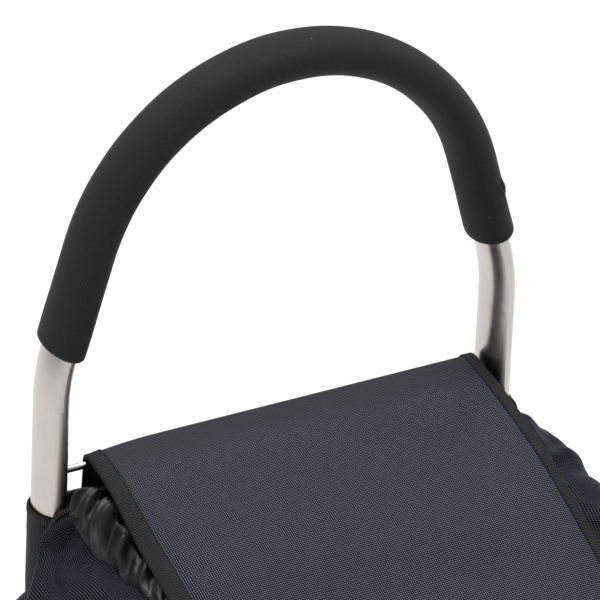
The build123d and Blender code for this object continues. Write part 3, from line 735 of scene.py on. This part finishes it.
def lid():
    inset = 1.2
    x = np.concatenate([np.linspace(LID_LEFT + inset, LID_LEFT + 45, 16),
                        np.linspace(LID_LEFT + 45, LID_RIGHT - 35, 50)[1:-1],
                        np.linspace(LID_RIGHT - 35, LID_RIGHT - inset, 14)])
    roll_s = lid_rows(0, SPLIT_AT, 1.2)
    main_s = lid_rows(SPLIT_AT, LINE_LENGTH - inset, 3.0)
    roll = grid_object("lid_roll", lid_surface(roll_s, x), "lid", LID_OXFORD, flip=True, rows_at=roll_s)
    main = grid_object("lid_cloth", lid_surface(main_s, x), "lid", LID_OXFORD, flip=True, rows_at=main_s)
    for obj in (roll, main):
        thicken(obj, LID_THICKNESS).modifiers["cloth"].use_rim = False    # tapes cover the edges
    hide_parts("lid_panel")
    trims, roll_trims = [], []
    rib_step = RIB_PITCH / 5
    for side, edge, inward, width in (("left", LID_LEFT, 1, TAPE_LEFT), ("right", LID_RIGHT, -1, TAPE_RIGHT)):
        for part, s, group in (("roll", lid_rows(0, SPLIT_AT, rib_step), roll_trims),
                               ("main", lid_rows(SPLIT_AT, LINE_LENGTH, rib_step), trims)):
            tape = tape_strip(f"lid_tape_{side}_{part}", s, edge, inward, width, "lid")
            group.append(tape)
            seam_s = lid_rows(s[0], s[-1], 1.5)
            seam_x = np.array([edge + inward * (width - 1.6), edge + inward * (width - 0.6)])
            seam = lid_surface(seam_s, np.sort(seam_x))
            normal = np.cross(np.gradient(seam[:, 0], axis=0), seam[:, 1] - seam[:, 0])
            normal /= np.linalg.norm(normal, axis=1, keepdims=True)
            normal *= np.sign(normal[:, 2:3] - normal[:, 1:2])
            sewn = stitches(f"lid_stitch_{side}_{part}", seam.mean(1) + normal * (LID_THICKNESS / 2 + 0.85),
                            normal, "lid")
            group.append(sewn)
    hem = lid_hem()
    trims.append(hem)
    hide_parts("lid_binding")
    strip = pile_strip("hook_pile_strip", "hook_strip", "lid", HOOK_PILE)
    trims.append(strip)
    for obj in [main] + trims:
        squash_lid(obj)
    width = (LID_RIGHT - LID_LEFT) * MM


def lid_hem():
    """The tape folded over the lid's front hem."""
    width, half = TAPE_HEM, LID_THICKNESS / 2 + 0.85
    x = np.arange(LID_LEFT + 0.8, LID_RIGHT - 0.8, RIB_PITCH / 5)
    section = [(width, half - 0.75)] + [(width * k, half) for k in (0.99, 0.75, 0.5, 0.25, 0.1)]
    section += [(0.5 - half * sin(radians(a)), half * cos(radians(a))) for a in (30, 60, 90, 120, 150)]
    section += [(width * k, -half) for k in (0.1, 0.25, 0.5, 0.75, 0.99)] + [(width, -half + 0.75)]
    rows = []
    rib = 0.2 * np.cos(2 * pi * x / RIB_PITCH)
    for back, height in section:
        edge = lid_surface(np.array([LINE_LENGTH - back - 0.001, LINE_LENGTH]), x)[0]
        edge[:, 1] -= height + np.sign(height) * rib
        edge[:, 2] += min(0.0, back)
        rows.append(edge)
    points = np.array(rows)
    tape = grid_object("lid_tape_hem", points.transpose(1, 0, 2), "lid", TAPE, close_cols=True, flip=True,
                       rows_at=x)
    return tape


def pile_strip(name, cad_node, body, material, forward=0.0):
    """A hook or loop strip with rounded corners and a slightly pillowed face, sewn this far
    forward of the design's place."""
    low, high = corners(cad_node)
    half_x, half_z = (high[0] - low[0]) / 2, (high[2] - low[2]) / 2
    centre_z = (high[2] + low[2]) / 2
    rings = []
    for grow, y in ((0, 0.0), (0, 0.55), (0.5, 0.8), (1.6, 0.95), (8, 1.0), (half_z, 1.0)):
        outline = []
        for k in range(48):
            a = 2 * pi * k / 48
            cx, cz = np.sign(cos(a)) * (half_x - 3), np.sign(sin(a)) * (half_z - 3)
            radius = max(0.3, 3 - grow) if grow < half_z else 0.0
            px = cx * max(0, half_x - max(grow, 3)) / (half_x - 3) + radius * cos(a)
            pz = cz * max(0, half_z - max(grow, 3)) / (half_z - 3) + radius * sin(a)
            outline.append((px, pz))
        rings.append([(px, high[1] - (high[1] - low[1]) * y - forward, centre_z + pz) for px, pz in outline])
    points = np.array(rings)
    strip = grid_object(name, points, body, material, close_cols=True)
    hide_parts(cad_node)
    return strip


# ---------------------------------------------------------------- bag

BAG_BACK = -14.0
BACK_CORNER = 30.0
FRONT_CORNER = 55.0
BAG_ANCHOR = -18.0
SLEEVE_OUT = LEG_X + 13.5
LOW_HALF, LOW_FRONT = 185.0, -231.0
MID_Z, MID_HALF = 300.0, 208.0
# Where the front hangs at each height
FRONT_Z = (BAG_BOTTOM, 150, 200, 250, 290, 320, 400, 470)
FRONT_Y = (LOW_FRONT, -233.5, -242, -253, -261, -260, -251, BAG_FRONT)
CLOTH = 1.3


def half_plan():
    """Left half of the bag in plan at its widest, from the sleeve to the middle of the front,
    as (x, y) points."""
    theta = np.radians(np.linspace(0, 90, 40))
    back = np.stack([-SLEEVE_OUT - (BAG_HALF - SLEEVE_OUT) * np.sin(theta),
                     BAG_BACK - BACK_CORNER * (1 - np.cos(theta))], axis=1)
    corner = arc(-BAG_HALF + FRONT_CORNER, BAG_FRONT + FRONT_CORNER, FRONT_CORNER, 180, 270)
    return np.concatenate([back, corner, [(0, BAG_FRONT)]])


# The rim's line and the height where the wall is widest, by distance along the plan
RIM_AT = (0, 24, 52, 84, 116, 148, 200, 245, 290, 360, 436)
RIM = ((-171, -21, 690), (-168, -34, 682), (-166, -52, 671), (-160, -78, 663), (-154, -104, 660),
       (-151, -130, 654), (-149, -180, 632), (-136, -212, 611), (-108, -226, 596), (-50, -232, 589),
       (0, -233, 588))
WIDEST_Z = (634, 632, 631, 631, 630, 622, 598, 580, 566, 560, 558)


def plan_table(step):
    """Distances along the whole plan, its points, and the rim and widest height at each."""
    half = resample(half_plan(), 1.0)
    total = len(half) - 1.0
    count = int(round(total / step))
    t = np.linspace(0, total, count + 1)
    at = np.arange(len(half)) * 1.0
    plan = np.stack([np.interp(t, at, half[:, k]) for k in (0, 1)], axis=1)
    scaled = t * RIM_AT[-1] / total
    rim = through(RIM_AT, RIM, scaled)
    widest = through(RIM_AT, WIDEST_Z, scaled)
    flip2, flip3 = np.array([-1, 1]), np.array([-1, 1, 1])
    plan = np.concatenate([plan, (plan * flip2)[-2::-1]])
    rim = np.concatenate([rim, (rim * flip3)[-2::-1]])
    widest = np.concatenate([widest, widest[-2::-1]])
    t = np.concatenate([t, 2 * total - t[-2::-1]])
    return t, plan, rim, widest


def narrowed(plan, z):
    """The plan at a lower height, where the bag is narrower."""
    half = np.interp(z, (BAG_BOTTOM, MID_Z, 560), (LOW_HALF, MID_HALF, BAG_HALF))
    front = np.interp(z, FRONT_Z, FRONT_Y)
    x, y = plan[:, 0], plan[:, 1]
    outside = np.clip((np.abs(x) - SLEEVE_OUT) / (BAG_HALF - SLEEVE_OUT), 0, 1)
    back = y > BAG_BACK - BACK_CORNER
    near_back = np.sign(x) * (SLEEVE_OUT + (half - SLEEVE_OUT) * outside)
    new_x = np.where(back, near_back, x * half / BAG_HALF)
    squarer = 2 / np.interp(z, (BAG_BOTTOM, MID_Z, 420), (5.5, 4.5, 2.0))
    across = (np.abs(x) - BAG_HALF + FRONT_CORNER) / FRONT_CORNER
    ahead = (BAG_FRONT + FRONT_CORNER - y) / FRONT_CORNER
    corner = (across > 0) & (ahead > 0)
    wide = BAG_HALF - FRONT_CORNER + FRONT_CORNER * np.clip(across, 0, 1) ** squarer
    deep = BAG_FRONT + FRONT_CORNER - FRONT_CORNER * np.clip(ahead, 0, 1) ** squarer
    new_x = np.where(corner, np.sign(x) * wide * half / BAG_HALF, new_x)
    y = np.where(corner, deep, y)
    new_y = BAG_BACK + (y - BAG_BACK) * (front - BAG_BACK) / (BAG_FRONT - BAG_BACK)
    return np.stack([new_x, new_y, np.full(len(x), z)], axis=1)


def bag_grid(step):
    t, plan, rim, widest = plan_table(step)
    low_rows = 40
    rows = []
    for k in np.linspace(0, 1, low_rows):
        z_each = BAG_BOTTOM + k * (widest - BAG_BOTTOM)
        row = np.array([narrowed(plan[i:i + 1], z)[0] for i, z in enumerate(z_each)])
        rows.append(row)
    top = rows[-1]
    power = 2 / 2.15
    for phi in np.radians(np.linspace(0, 90, 19)[1:]):
        out, up = 1 - cos(phi) ** power if phi < pi / 2 - 1e-6 else 1, sin(phi) ** power
        row = top + (rim - top) * np.array([out, out, up])
        rows.append(row)
    inward = rim - top
    inward[:, 2] = 0
    inward /= np.maximum(np.linalg.norm(inward, axis=1, keepdims=True), 1e-6)
    rows.append(rim + inward * 2.5 - np.array([0, 0, 2.0]))
    rows.append(rim + inward * 3.0 - np.array([0, 0, 6.0]))
    return t, np.array(rows)


def pleat_line(length, pitch, seed):
    """Places and heights of alternate ridges and valleys along a gathered edge."""
    rng = np.random.default_rng(seed)
    places = [0.0]
    while places[-1] < length:
        places.append(places[-1] + pitch * rng.uniform(0.3, 0.75))
    heights = rng.uniform(0.45, 1.0, len(places))
    heights[::2] *= -1
    return np.array(places), heights


# Creases of the bag's shoulders: points as (distance along the plan, distance down from the rim),
# then how far each stands out and its half width. The right side's distances run from the right.
LEFT_CREASES = (
    (((10, 4), (16, 26), (22, 46), (34, 60), (60, 68)), 5.5, 6),
    (((24, 8), (34, 30), (50, 44), (76, 50), (110, 62)), -6.5, 8),
    (((46, 6), (62, 18), (84, 26), (108, 30)), 4.0, 6),
    (((44, 0), (58, 34), (66, 90), (64, 150)), -4.0, 8),
    (((70, 0), (82, 40), (84, 110)), 3.5, 9),
)
RIGHT_CREASES = (
    (((86, 0), (74, 24), (60, 50), (54, 80)), 4.5, 4.5),
    (((74, 0), (63, 20), (51, 44), (45, 70)), -3.0, 6),
    (((102, 0), (90, 26), (78, 60), (70, 110)), -5.0, 7),
    (((122, 0), (134, 32), (146, 70), (150, 130)), 4.0, 5),
    (((138, 0), (152, 30), (166, 80)), -4.5, 8),
)


def crease_shift(creases, at, down):
    """How far a set of creases moves the cloth out, at places along and down the wall."""
    total = np.zeros_like(down)
    for path, depth, width in creases:
        line = resample(path, 3.0)
        away = np.hypot(at[..., None] - line[:, 0], down[..., None] - line[:, 1])
        nearest = away.argmin(-1)
        fade = np.linspace(1, 0.15, len(line))[nearest]
        total += depth * fade * np.exp(-(away.min(-1) / width) ** 2)
    return total


def strip_patch(points):
    """1 where the cloth lies flat under the loop strip, fading to 0 round it."""
    low, high = corners("loop_strip")
    beside = ease(-np.abs(points[..., 0]), -high[0] - 60, -high[0] - 5)
    below = ease(points[..., 2], low[2] - 60, low[2] - 8)
    above = ease(-points[..., 2], -high[2] - 28, -high[2] - 5)
    return beside * below * above * (points[..., 1] < -150)


def gathers(t, points):
    """Pleats that start at the rim and die out down the wall, creases and a few broad dents."""
    normals = grid_normals(points)
    down = np.zeros(points.shape[:2])
    lengths = np.linalg.norm(np.diff(points, axis=0), axis=2)
    down[:-1] = np.cumsum(lengths[::-1], axis=0)[::-1]
    along = np.broadcast_to(t, down.shape)
    creases = crease_shift(LEFT_CREASES, along, down) + crease_shift(RIGHT_CREASES, t[-1] - along, down)
    places, heights = pleat_line(t[-1] + 80, 27, 12)
    loose = 1 - strip_patch(points)
    moved = points.copy()
    for j, at in enumerate(t):
        edge = ease(min(at, t[-1] - at), 0, 20)
        front = ease(min(at, t[-1] - at), 95, 160)
        for i in range(points.shape[0]):
            d = down[i, j]
            bend = at + 16 * wander(at, d, 3, 90, 2.2) + 0.18 * d * sin(at / 70) + 30
            ridge = np.interp(bend, places, heights) - 0.4 * front
            fade = np.exp(-d / 48) * ease(d, 0, 16)
            broad = 3.5 * wander(*points[i, j], 75, 9.1) * ease(d, 25, 90) * ease(points[i, j, 2], 290, 380)
            low = ease(-points[i, j, 2], -656, -606)
            left = np.exp(-((at - 40) / 34) ** 2) * (18.0 * low - 4.0 * (1 - low) * ease(d, 4, 20))
            left *= ease(points[i, j, 2], 400, 520)
            shift = (1.6 + 5.4 * front) * ridge * fade + creases[i, j] * ease(d, 0, 8) + broad + left
            moved[i, j] += normals[i, j] * shift * edge * loose[i, j]
    return moved


def simulate(obj, pins, frames, cap, pressure=0.0, growth=0.0, stiffness=12.0, bending=0.6):
    """Cloth simulation with its result put into the mesh. pins is one weight a vertex, cap is how
    far each vertex may move, in millimetres, and growth the share by which the cloth lengthens."""
    rest = np.zeros(len(obj.data.vertices) * 3, np.float32)
    obj.data.vertices.foreach_get("co", rest)
    rest = rest.reshape(-1, 3).astype(float)
    group = obj.vertex_groups.new(name="pins")
    for index, weight in enumerate(pins):
        if weight > 0:
            group.add([index], float(weight), "REPLACE")
    cloth = obj.modifiers.new("drape", "CLOTH")
    settings = cloth.settings
    settings.quality = 5
    settings.mass = 0.15
    settings.tension_stiffness = settings.compression_stiffness = stiffness
    settings.shear_stiffness = stiffness * 0.5
    settings.bending_stiffness = bending
    settings.air_damping = 3.0
    settings.vertex_group_mass = "pins"
    settings.shrink_min = -growth
    settings.effector_weights.gravity = 0.0
    if pressure:
        settings.use_pressure = True
        settings.uniform_pressure_force = pressure
    cloth.collision_settings.use_collision = False
    cloth.point_cache.frame_start, cloth.point_cache.frame_end = 1, frames
    scene = bpy.context.scene
    scene.frame_start, scene.frame_end = 1, frames
    for f in range(1, frames + 1):
        scene.frame_set(f)
    evaluated = obj.evaluated_get(bpy.context.evaluated_depsgraph_get())
    after = np.zeros(len(evaluated.data.vertices) * 3, np.float32)
    evaluated.data.vertices.foreach_get("co", after)
    after = after.reshape(-1, 3).astype(float)
    obj.modifiers.remove(cloth)
    scene.frame_set(1)
    obj.vertex_groups.clear()
    move = after - rest
    length = np.linalg.norm(move, axis=1, keepdims=True)
    limit = np.asarray(cap, float).reshape(-1, 1) * MM
    move *= limit * np.tanh(length / np.maximum(limit, 1e-9)) / np.maximum(length, 1e-12)
    obj.data.vertices.foreach_set("co", (rest + move).astype(np.float32).ravel())
    obj.data.update()


def squash_bag(obj):
    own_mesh(obj)


def bag():
    """The bag's wall. Known fault: its bulge isn't limited by the lid, so at rest the front comes
    through the closed lid's hanging part."""
    t, points = bag_grid(4.5)
    points = gathers(t, points)
    sewn = []
    for side, column in ((1, points[:, 0]), (-1, points[:, -1])):
        reach = 0.5 + 3.8 * (1 - ease(column[:, 2:], 640, 668))
        sewn.append(column + reach * np.array([side, 0.33, 0]))
    points = np.concatenate([sewn[0][:, None], points, sewn[1][:, None]], axis=1)
    body = grid_object("bag_cloth", points, "root", OXFORD, flip=False)
    rows, cols = points.shape[:2]
    i, j = np.meshgrid(np.arange(rows), np.arange(cols), indexing="ij")
    pinned = ((i < 2) | (i > rows - 4) | (j < 2) | (j > cols - 3)).astype(float).ravel()
    z = points[:, :, 2].ravel()
    firm = 1 - 0.7 * ease(points[:, :, 0].ravel(), 40, 150) * ease(z, 540, 620)
    flat = strip_patch(points).ravel()
    cap = 0.3 + 0.7 * ease(z, 150, 220) + 8.5 * ease(z, 310, 420) * firm * (1 - flat)
    simulate(body, pinned, 26, cap, pressure=3.0, growth=0.05)
    thicken(body, CLOTH, level=1)
    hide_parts("bag_shell")
    squash_bag(body)
    seam = rim_seam(points)
    strip = pile_strip("loop_pile_strip", "loop_strip", "root", LOOP_PILE, 1.3)
    squash_bag(strip)


def tube_along(line, radius_across, radius_up, ups):
    """A rounded strip swept along points; ups is its upward direction at each."""
    along = np.gradient(line, axis=0)
    along /= np.linalg.norm(along, axis=1, keepdims=True)
    side = np.cross(along, ups)
    side /= np.linalg.norm(side, axis=1, keepdims=True)
    up = np.cross(side, along)
    angle = np.linspace(0, 2 * pi, 10, endpoint=False)
    return (line[:, None, :] + side[:, None, :] * (radius_across * np.cos(angle))[None, :, None]
            + up[:, None, :] * (radius_up * np.sin(angle))[None, :, None])


def rim_seam(points):
    """The bound seam: up each sleeve, over the leg's front to the lid's corner, and round the rim."""
    rim = points[-3]
    grids = []
    for side, edge in ((1, points[:-2, 1]), (-1, points[:-2, -2])):
        to_lid = np.array([(-161, -20.8, 694.2), (-151, -20.2, 698.4), (-141, -19.0, 699.5)])
        line = np.concatenate([edge, to_lid * np.array([side, 1, 1])])
        smooth = resample(line + np.array([-1.2 * side, -2.2, 1.6]), RIB_PITCH / 4)
        for _ in range(40):
            smooth[1:-1] = (smooth[:-2] + smooth[2:] + 2 * smooth[1:-1]) / 4
        ups = np.broadcast_to(np.array([-0.5 * side, 0.1, 0.6]), smooth.shape)
        grids.append(tube_along(smooth, 2.4, 1.1, ups))
    line = resample(rim + np.array([0, 0, 0.8]), RIB_PITCH / 4)
    grids.append(tube_along(line, 2.2, 1.0, np.broadcast_to(np.array([0, 0, 1.0]), line.shape)))
    parts = []
    for grid in grids:
        made = grid_object("scratch", grid, "root", TAPE, close_cols=True)
        mesh = made.data
        co = np.zeros(len(mesh.vertices) * 3)
        mesh.vertices.foreach_get("co", co)
        uv = np.zeros(len(mesh.loops) * 2)
        mesh.uv_layers["Cloth"].data.foreach_get("uv", uv)
        co = (co.reshape(-1, 3) - np.array([0, LEG_Y * MM, 0])) / MM
        parts.append((co, [list(p.vertices) for p in mesh.polygons], uv.reshape(-1, 2)))
        bpy.data.objects.remove(made)
    joined, faces, uvs = join_grids(parts)
    seam = mesh_object("bag_seam_binding", joined, faces, "root", TAPE, uvs)
    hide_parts("rim_binding")
    squash_bag(seam)
    return seam


# Collar: how far it stands above the rim and reaches in over the mouth, by place along the plan
COLLAR_UP = (12, 19, 25, 17, 9, 6, 6, 5, 5, 5, 5)
COLLAR_IN = (22, 22, 20, 17, 14, 12, 14, 15, 16, 16, 16)


def collar():
    """The thin gathered collar: leans in from the rim in creased facets, then drops away."""
    t, _, rim, _ = plan_table(2.5)
    half = t[-1] / 2
    place = np.minimum(t, t[-1] - t) * RIM_AT[-1] / half
    up = through(RIM_AT, COLLAR_UP, place)
    reach = through(RIM_AT, COLLAR_IN, place)
    inward = np.zeros_like(rim)
    inward[:, :2] = np.array([0, -130]) - rim[:, :2]
    inward[:, 1] *= ease(place, 150, 300)
    inward /= np.linalg.norm(inward, axis=1, keepdims=True)
    profile = np.array([(-0.12, -0.12), (-0.1, 0.1), (0.0, 0.35), (0.2, 0.66), (0.45, 0.88), (0.7, 1.0),
                        (0.9, 0.95), (1.0, 0.7), (1.03, 0.3), (1.05, -0.2), (1.05, -0.8)])
    profile = resample(profile, 0.11)
    v = np.linspace(0, 1, len(profile))
    big_at, big = pleat_line(t[-1] + 90, 34, 5)
    small_at, small = pleat_line(t[-1] + 90, 15, 8)
    rows = []
    for k, (across, rise) in zip(v, profile):
        row = rim + inward * (reach * across)[:, None]
        row[:, 2] += np.where(rise > 0, up * rise, 16 * rise)
        rows.append(row)
    points = np.array(rows)
    normals = grid_normals(points)
    normals *= np.sign(normals[5:6, :, 2:3])
    for i, k in enumerate(v):
        lean = 20 + 26 * (k - 0.3)
        bend = t + lean + np.array([7 * wander(a, 60 * k, 1, 45, 3.3) for a in t])
        fold = 7.0 * np.interp(bend, big_at, big) + 2.8 * np.interp(bend + 18 * k, small_at, small)
        fold *= 1 - 0.65 * ease(place, 82, 104)
        points[i] += normals[i] * (fold * ease(k, 0.02, 0.3) * (1 - 0.5 * ease(k, 0.75, 1)))[:, None]
    ceiling = lid_height(points[:, :, 0], points[:, :, 1]) - 3.5
    under = (points[:, :, 0] > LID_LEFT - 3) & (points[:, :, 0] < LID_RIGHT + 3)
    points[:, :, 2] = np.where(under, np.minimum(points[:, :, 2], ceiling), points[:, :, 2])
    body = grid_object("bag_collar_cloth", points, "root", NYLON)
    pinned = np.zeros(points.shape[:2])
    pinned[:2] = 1
    pinned[-2:] = 1
    simulate(body, pinned.ravel(), 16, np.full(points.shape[0] * points.shape[1], 1.2), growth=0.03,
             stiffness=8.0, bending=0.05)
    thicken(body, 0.35, level=1)
    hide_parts("bag_collar")
    squash_bag(body)


def base_cloth():
    """The bag's bottom, under the board."""
    _, plan, _, _ = plan_table(6.0)
    outline = narrowed(plan, BAG_BOTTOM + 1.2)
    outline[:, 0] *= 0.992
    outline[:, 1] = BAG_ANCHOR - 1 + (outline[:, 1] - BAG_BACK) * 0.99
    back = np.linspace(outline[-1], outline[0], 40)[1:-1]
    ring = np.concatenate([outline, back])
    middle_point = np.array([0, -125.0, BAG_BOTTOM + 1.2])
    rows = [middle_point + (ring - middle_point) * k for k in np.linspace(1, 0.04, 16)]
    points = np.array(rows)
    points[:, :, 2] += 0.35 * wander_grid(points, 60, 5.0)
    base = grid_object("bag_base_cloth", points, "root", OXFORD_DULL, close_cols=True)
    thicken(base, 0.9)
    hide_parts("bag_base")
    squash_bag(base)


# ---------------------------------------------------------------- sleeves, back and skirt

def oval(half_x, half_y, count):
    angle = np.linspace(0, 2 * pi, count, endpoint=False)
    return np.stack([half_x * np.cos(angle), half_y * np.sin(angle)], axis=1)


def sleeve(side):
    """The cloth tunnel a leg runs through, a little slack and creased."""
    sign = 1 if side == "right" else -1
    low, high = corners(f"{side}_sleeve")
    ring = oval((high[0] - low[0]) / 2 - 0.8, (high[1] - low[1]) / 2 - 0.8, 48)
    top = corners(f"{side}_sleeve_ring")[1][2] - 0.5
    heights = np.concatenate([np.arange(low[2], top - 8, 6.0), [top - 6, top - 4, top - 2, top]])
    around_leg = np.linspace(0, 2 * pi, 48, endpoint=False)
    rows = []
    for z in heights:
        slack = ease(np.array(z), low[2], low[2] + 30) * (1 - ease(np.array(z), top - 14, top))
        grow = [0.45 * slack * wander(40 * cos(a), 40 * sin(a), z, 26, 4.0 + sign) + 0.25
                * slack * wander(30 * cos(a), 30 * sin(a), z, 9, 1.0) for a in around_leg]
        scale = 1 + np.array(grow)[:, None] / 14
        xy = ring * scale
        rows.append(np.stack([sign * LEG_X + xy[:, 0], xy[:, 1], np.full(48, z)], axis=1))
    points = np.array(rows)
    tube = grid_object(f"{side}_sleeve_cloth", points, "root", OXFORD_DULL, close_cols=True)
    thicken(tube, CLOTH)
    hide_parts(f"{side}_sleeve")
    edge = ring_tape(side, sign, ring, top)


def ring_tape(side, sign, ring, top):
    """The folded edge round the sleeve's mouth."""
    count = 360
    angle = np.linspace(0, 2 * pi, count, endpoint=False)
    half_x, half_y = ring[:, 0].max(), ring[:, 1].max()
    section = ((-0.9, -5.0), (-0.9, -1.0), (-0.6, 0.2), (0.0, 0.6), (0.6, 0.2), (1.0, -1.0),
               (1.05, -4.8), (0.6, -5.3))
    rows = []
    for out, up in section:
        rib = 0.1 * np.cos(angle * 76) * (out > 0)
        rows.append(np.stack([sign * LEG_X + (half_x + out + rib) * np.cos(angle),
                              (half_y + out + rib) * np.sin(angle), np.full(count, top + up)], axis=1))
    points = np.array(rows)
    tape = grid_object(f"{side}_sleeve_edge", points.transpose(1, 0, 2), "root", TAPE, close_rows=True,
                       close_cols=True, flip=True)
    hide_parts(f"{side}_sleeve_ring")
    return tape


def back_panel():
    """The flat cloth behind the bag, between the sleeves, with its bound top edge."""
    low, high = PANEL_LOW, PANEL_HIGH
    x = np.linspace(low[0] - 2.5, high[0] + 2.5, 69)          # the edges are sewn into the sleeves
    z = np.linspace(low[2], high[2] - 1, 92)
    grid_x, grid_z = np.meshgrid(x, z)
    y = np.full(grid_x.shape, (low[1] + high[1]) / 2)
    side = np.abs(grid_x) / high[0]
    y = y - 2.2 * ease(side, 0.93, 1.01)
    points = np.stack([grid_x, y, grid_z], axis=2)
    slack = (1 - ease(side, 0.75, 1.0)) * (1 - ease(grid_z, high[2] - 60, high[2] - 16))
    points[:, :, 1] += slack * (0.8 * wander_grid(points, 95, 2.0) + 0.5 * wander_grid(points, 40, 8.0))
    panel = grid_object("back_panel_cloth", points, "root", OXFORD_DULL, flip=True)
    thicken(panel, CLOTH, level=1)
    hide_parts("back_panel")
    tape = back_tape()
    lid_skirt()
    for sign, name in ((-1, "left"), (1, "right")):
        heights = np.linspace(low[2] + 3, high[2] - 20, 60)
        line = np.array([(sign * (high[0] - 11), high[1] - 0.25, height) for height in heights])
        out = np.broadcast_to(np.array([0, 1.0, 0]), line.shape)
        stitches(f"back_seam_{name}", line, out, "root")


def back_tape():
    low, high = corners("back_tape")
    x = np.arange(low[0], high[0], RIB_PITCH / 5)
    rib = 0.18 * np.cos(2 * pi * x / RIB_PITCH)
    front, back = PANEL_LOW[1] - 0.6, high[1] - 0.3
    top = PANEL_HIGH[2] + 0.2
    section = ((front + 0.3, -13.5), (front, -12.5), (front, -1.2), (front + 0.9, -0.2), (front + 2.2, 0.2),
               (back - 0.5, -0.2), (back, -1.5), (back, -12.8), (back - 0.4, -13.6))
    rows = []
    for y, drop in section:
        sign = -1 if y < (front + back) / 2 else 1
        rows.append(np.stack([x, y + sign * rib, np.full(len(x), top + drop)], axis=1))
    points = np.array(rows)
    tape = grid_object("back_tape_band", points.transpose(1, 0, 2), "root", TAPE, close_cols=True, flip=True,
                       rows_at=x)
    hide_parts("back_tape")
    return tape


def lid_skirt():
    """The fixed cloth behind the rod, down over the back panel's top edge."""
    low, high = corners("lid_skirt")
    x = np.linspace(low[0] + 3.0, high[0] - 0.5, 90)
    side = resample([(low[1] + 0.8, high[2]), (12.9, 694), (PANEL_LOW[1] - 1.5, 683),
                     (PANEL_LOW[1] - 1.6, 667)], 2.5)
    shape = (len(side), 90)
    points = np.stack([np.broadcast_to(x, shape), np.broadcast_to(side[:, :1], shape),
                       np.broadcast_to(side[:, 1:], shape)], axis=2).copy()
    loose = np.sin(pi * np.linspace(0, 0.6, len(side)))[:, None]
    points[:, :, 1] += 0.35 * wander_grid(points, 45, 6.0) * loose
    skirt = grid_object("lid_skirt_cloth", points, "root", OXFORD, flip=False)
    thicken(skirt, CLOTH)
    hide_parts("lid_skirt")


# ---------------------------------------------------------------- CAD nodes that stay

def finish_cad_nodes():
    """Materials for the hard parts, whose shapes are the design's own."""
    slots = {
        "frame_tube": ALUMINIUM, "lower_cross_tube": ALUMINIUM, "top_rod": CHROME, "axle": STEEL,
        "bracket_rivets": STEEL, "stand_foot": PAINTED, "platform_tray": BLACK_PLASTIC, "base_board": BOARD,
    }
    for side in ("left", "right"):
        slots.update({
            f"{side}_bracket": BLACK_PLASTIC, f"{side}_foot_pad": FOOT_RUBBER, f"{side}_tyre": TYRE_RUBBER,
            f"{side}_rim": GREY_PLASTIC, f"{side}_bushes": BUSH_PLASTIC, f"{side}_hub_cap": BLACK_PLASTIC,
            f"{side}_washer": STEEL, f"{side}_clip": STEEL, f"{side}_hinge_pin": STEEL,
        })
    for name, material in slots.items():
        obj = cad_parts[name]
        obj.data.materials.clear()
        obj.data.materials.append(material)


make_camera()
make_studio()
finish_cad_nodes()
foam_grip()
lid()
bag()
collar()
base_cloth()
for side in ("left", "right"):
    sleeve(side)
back_panel()
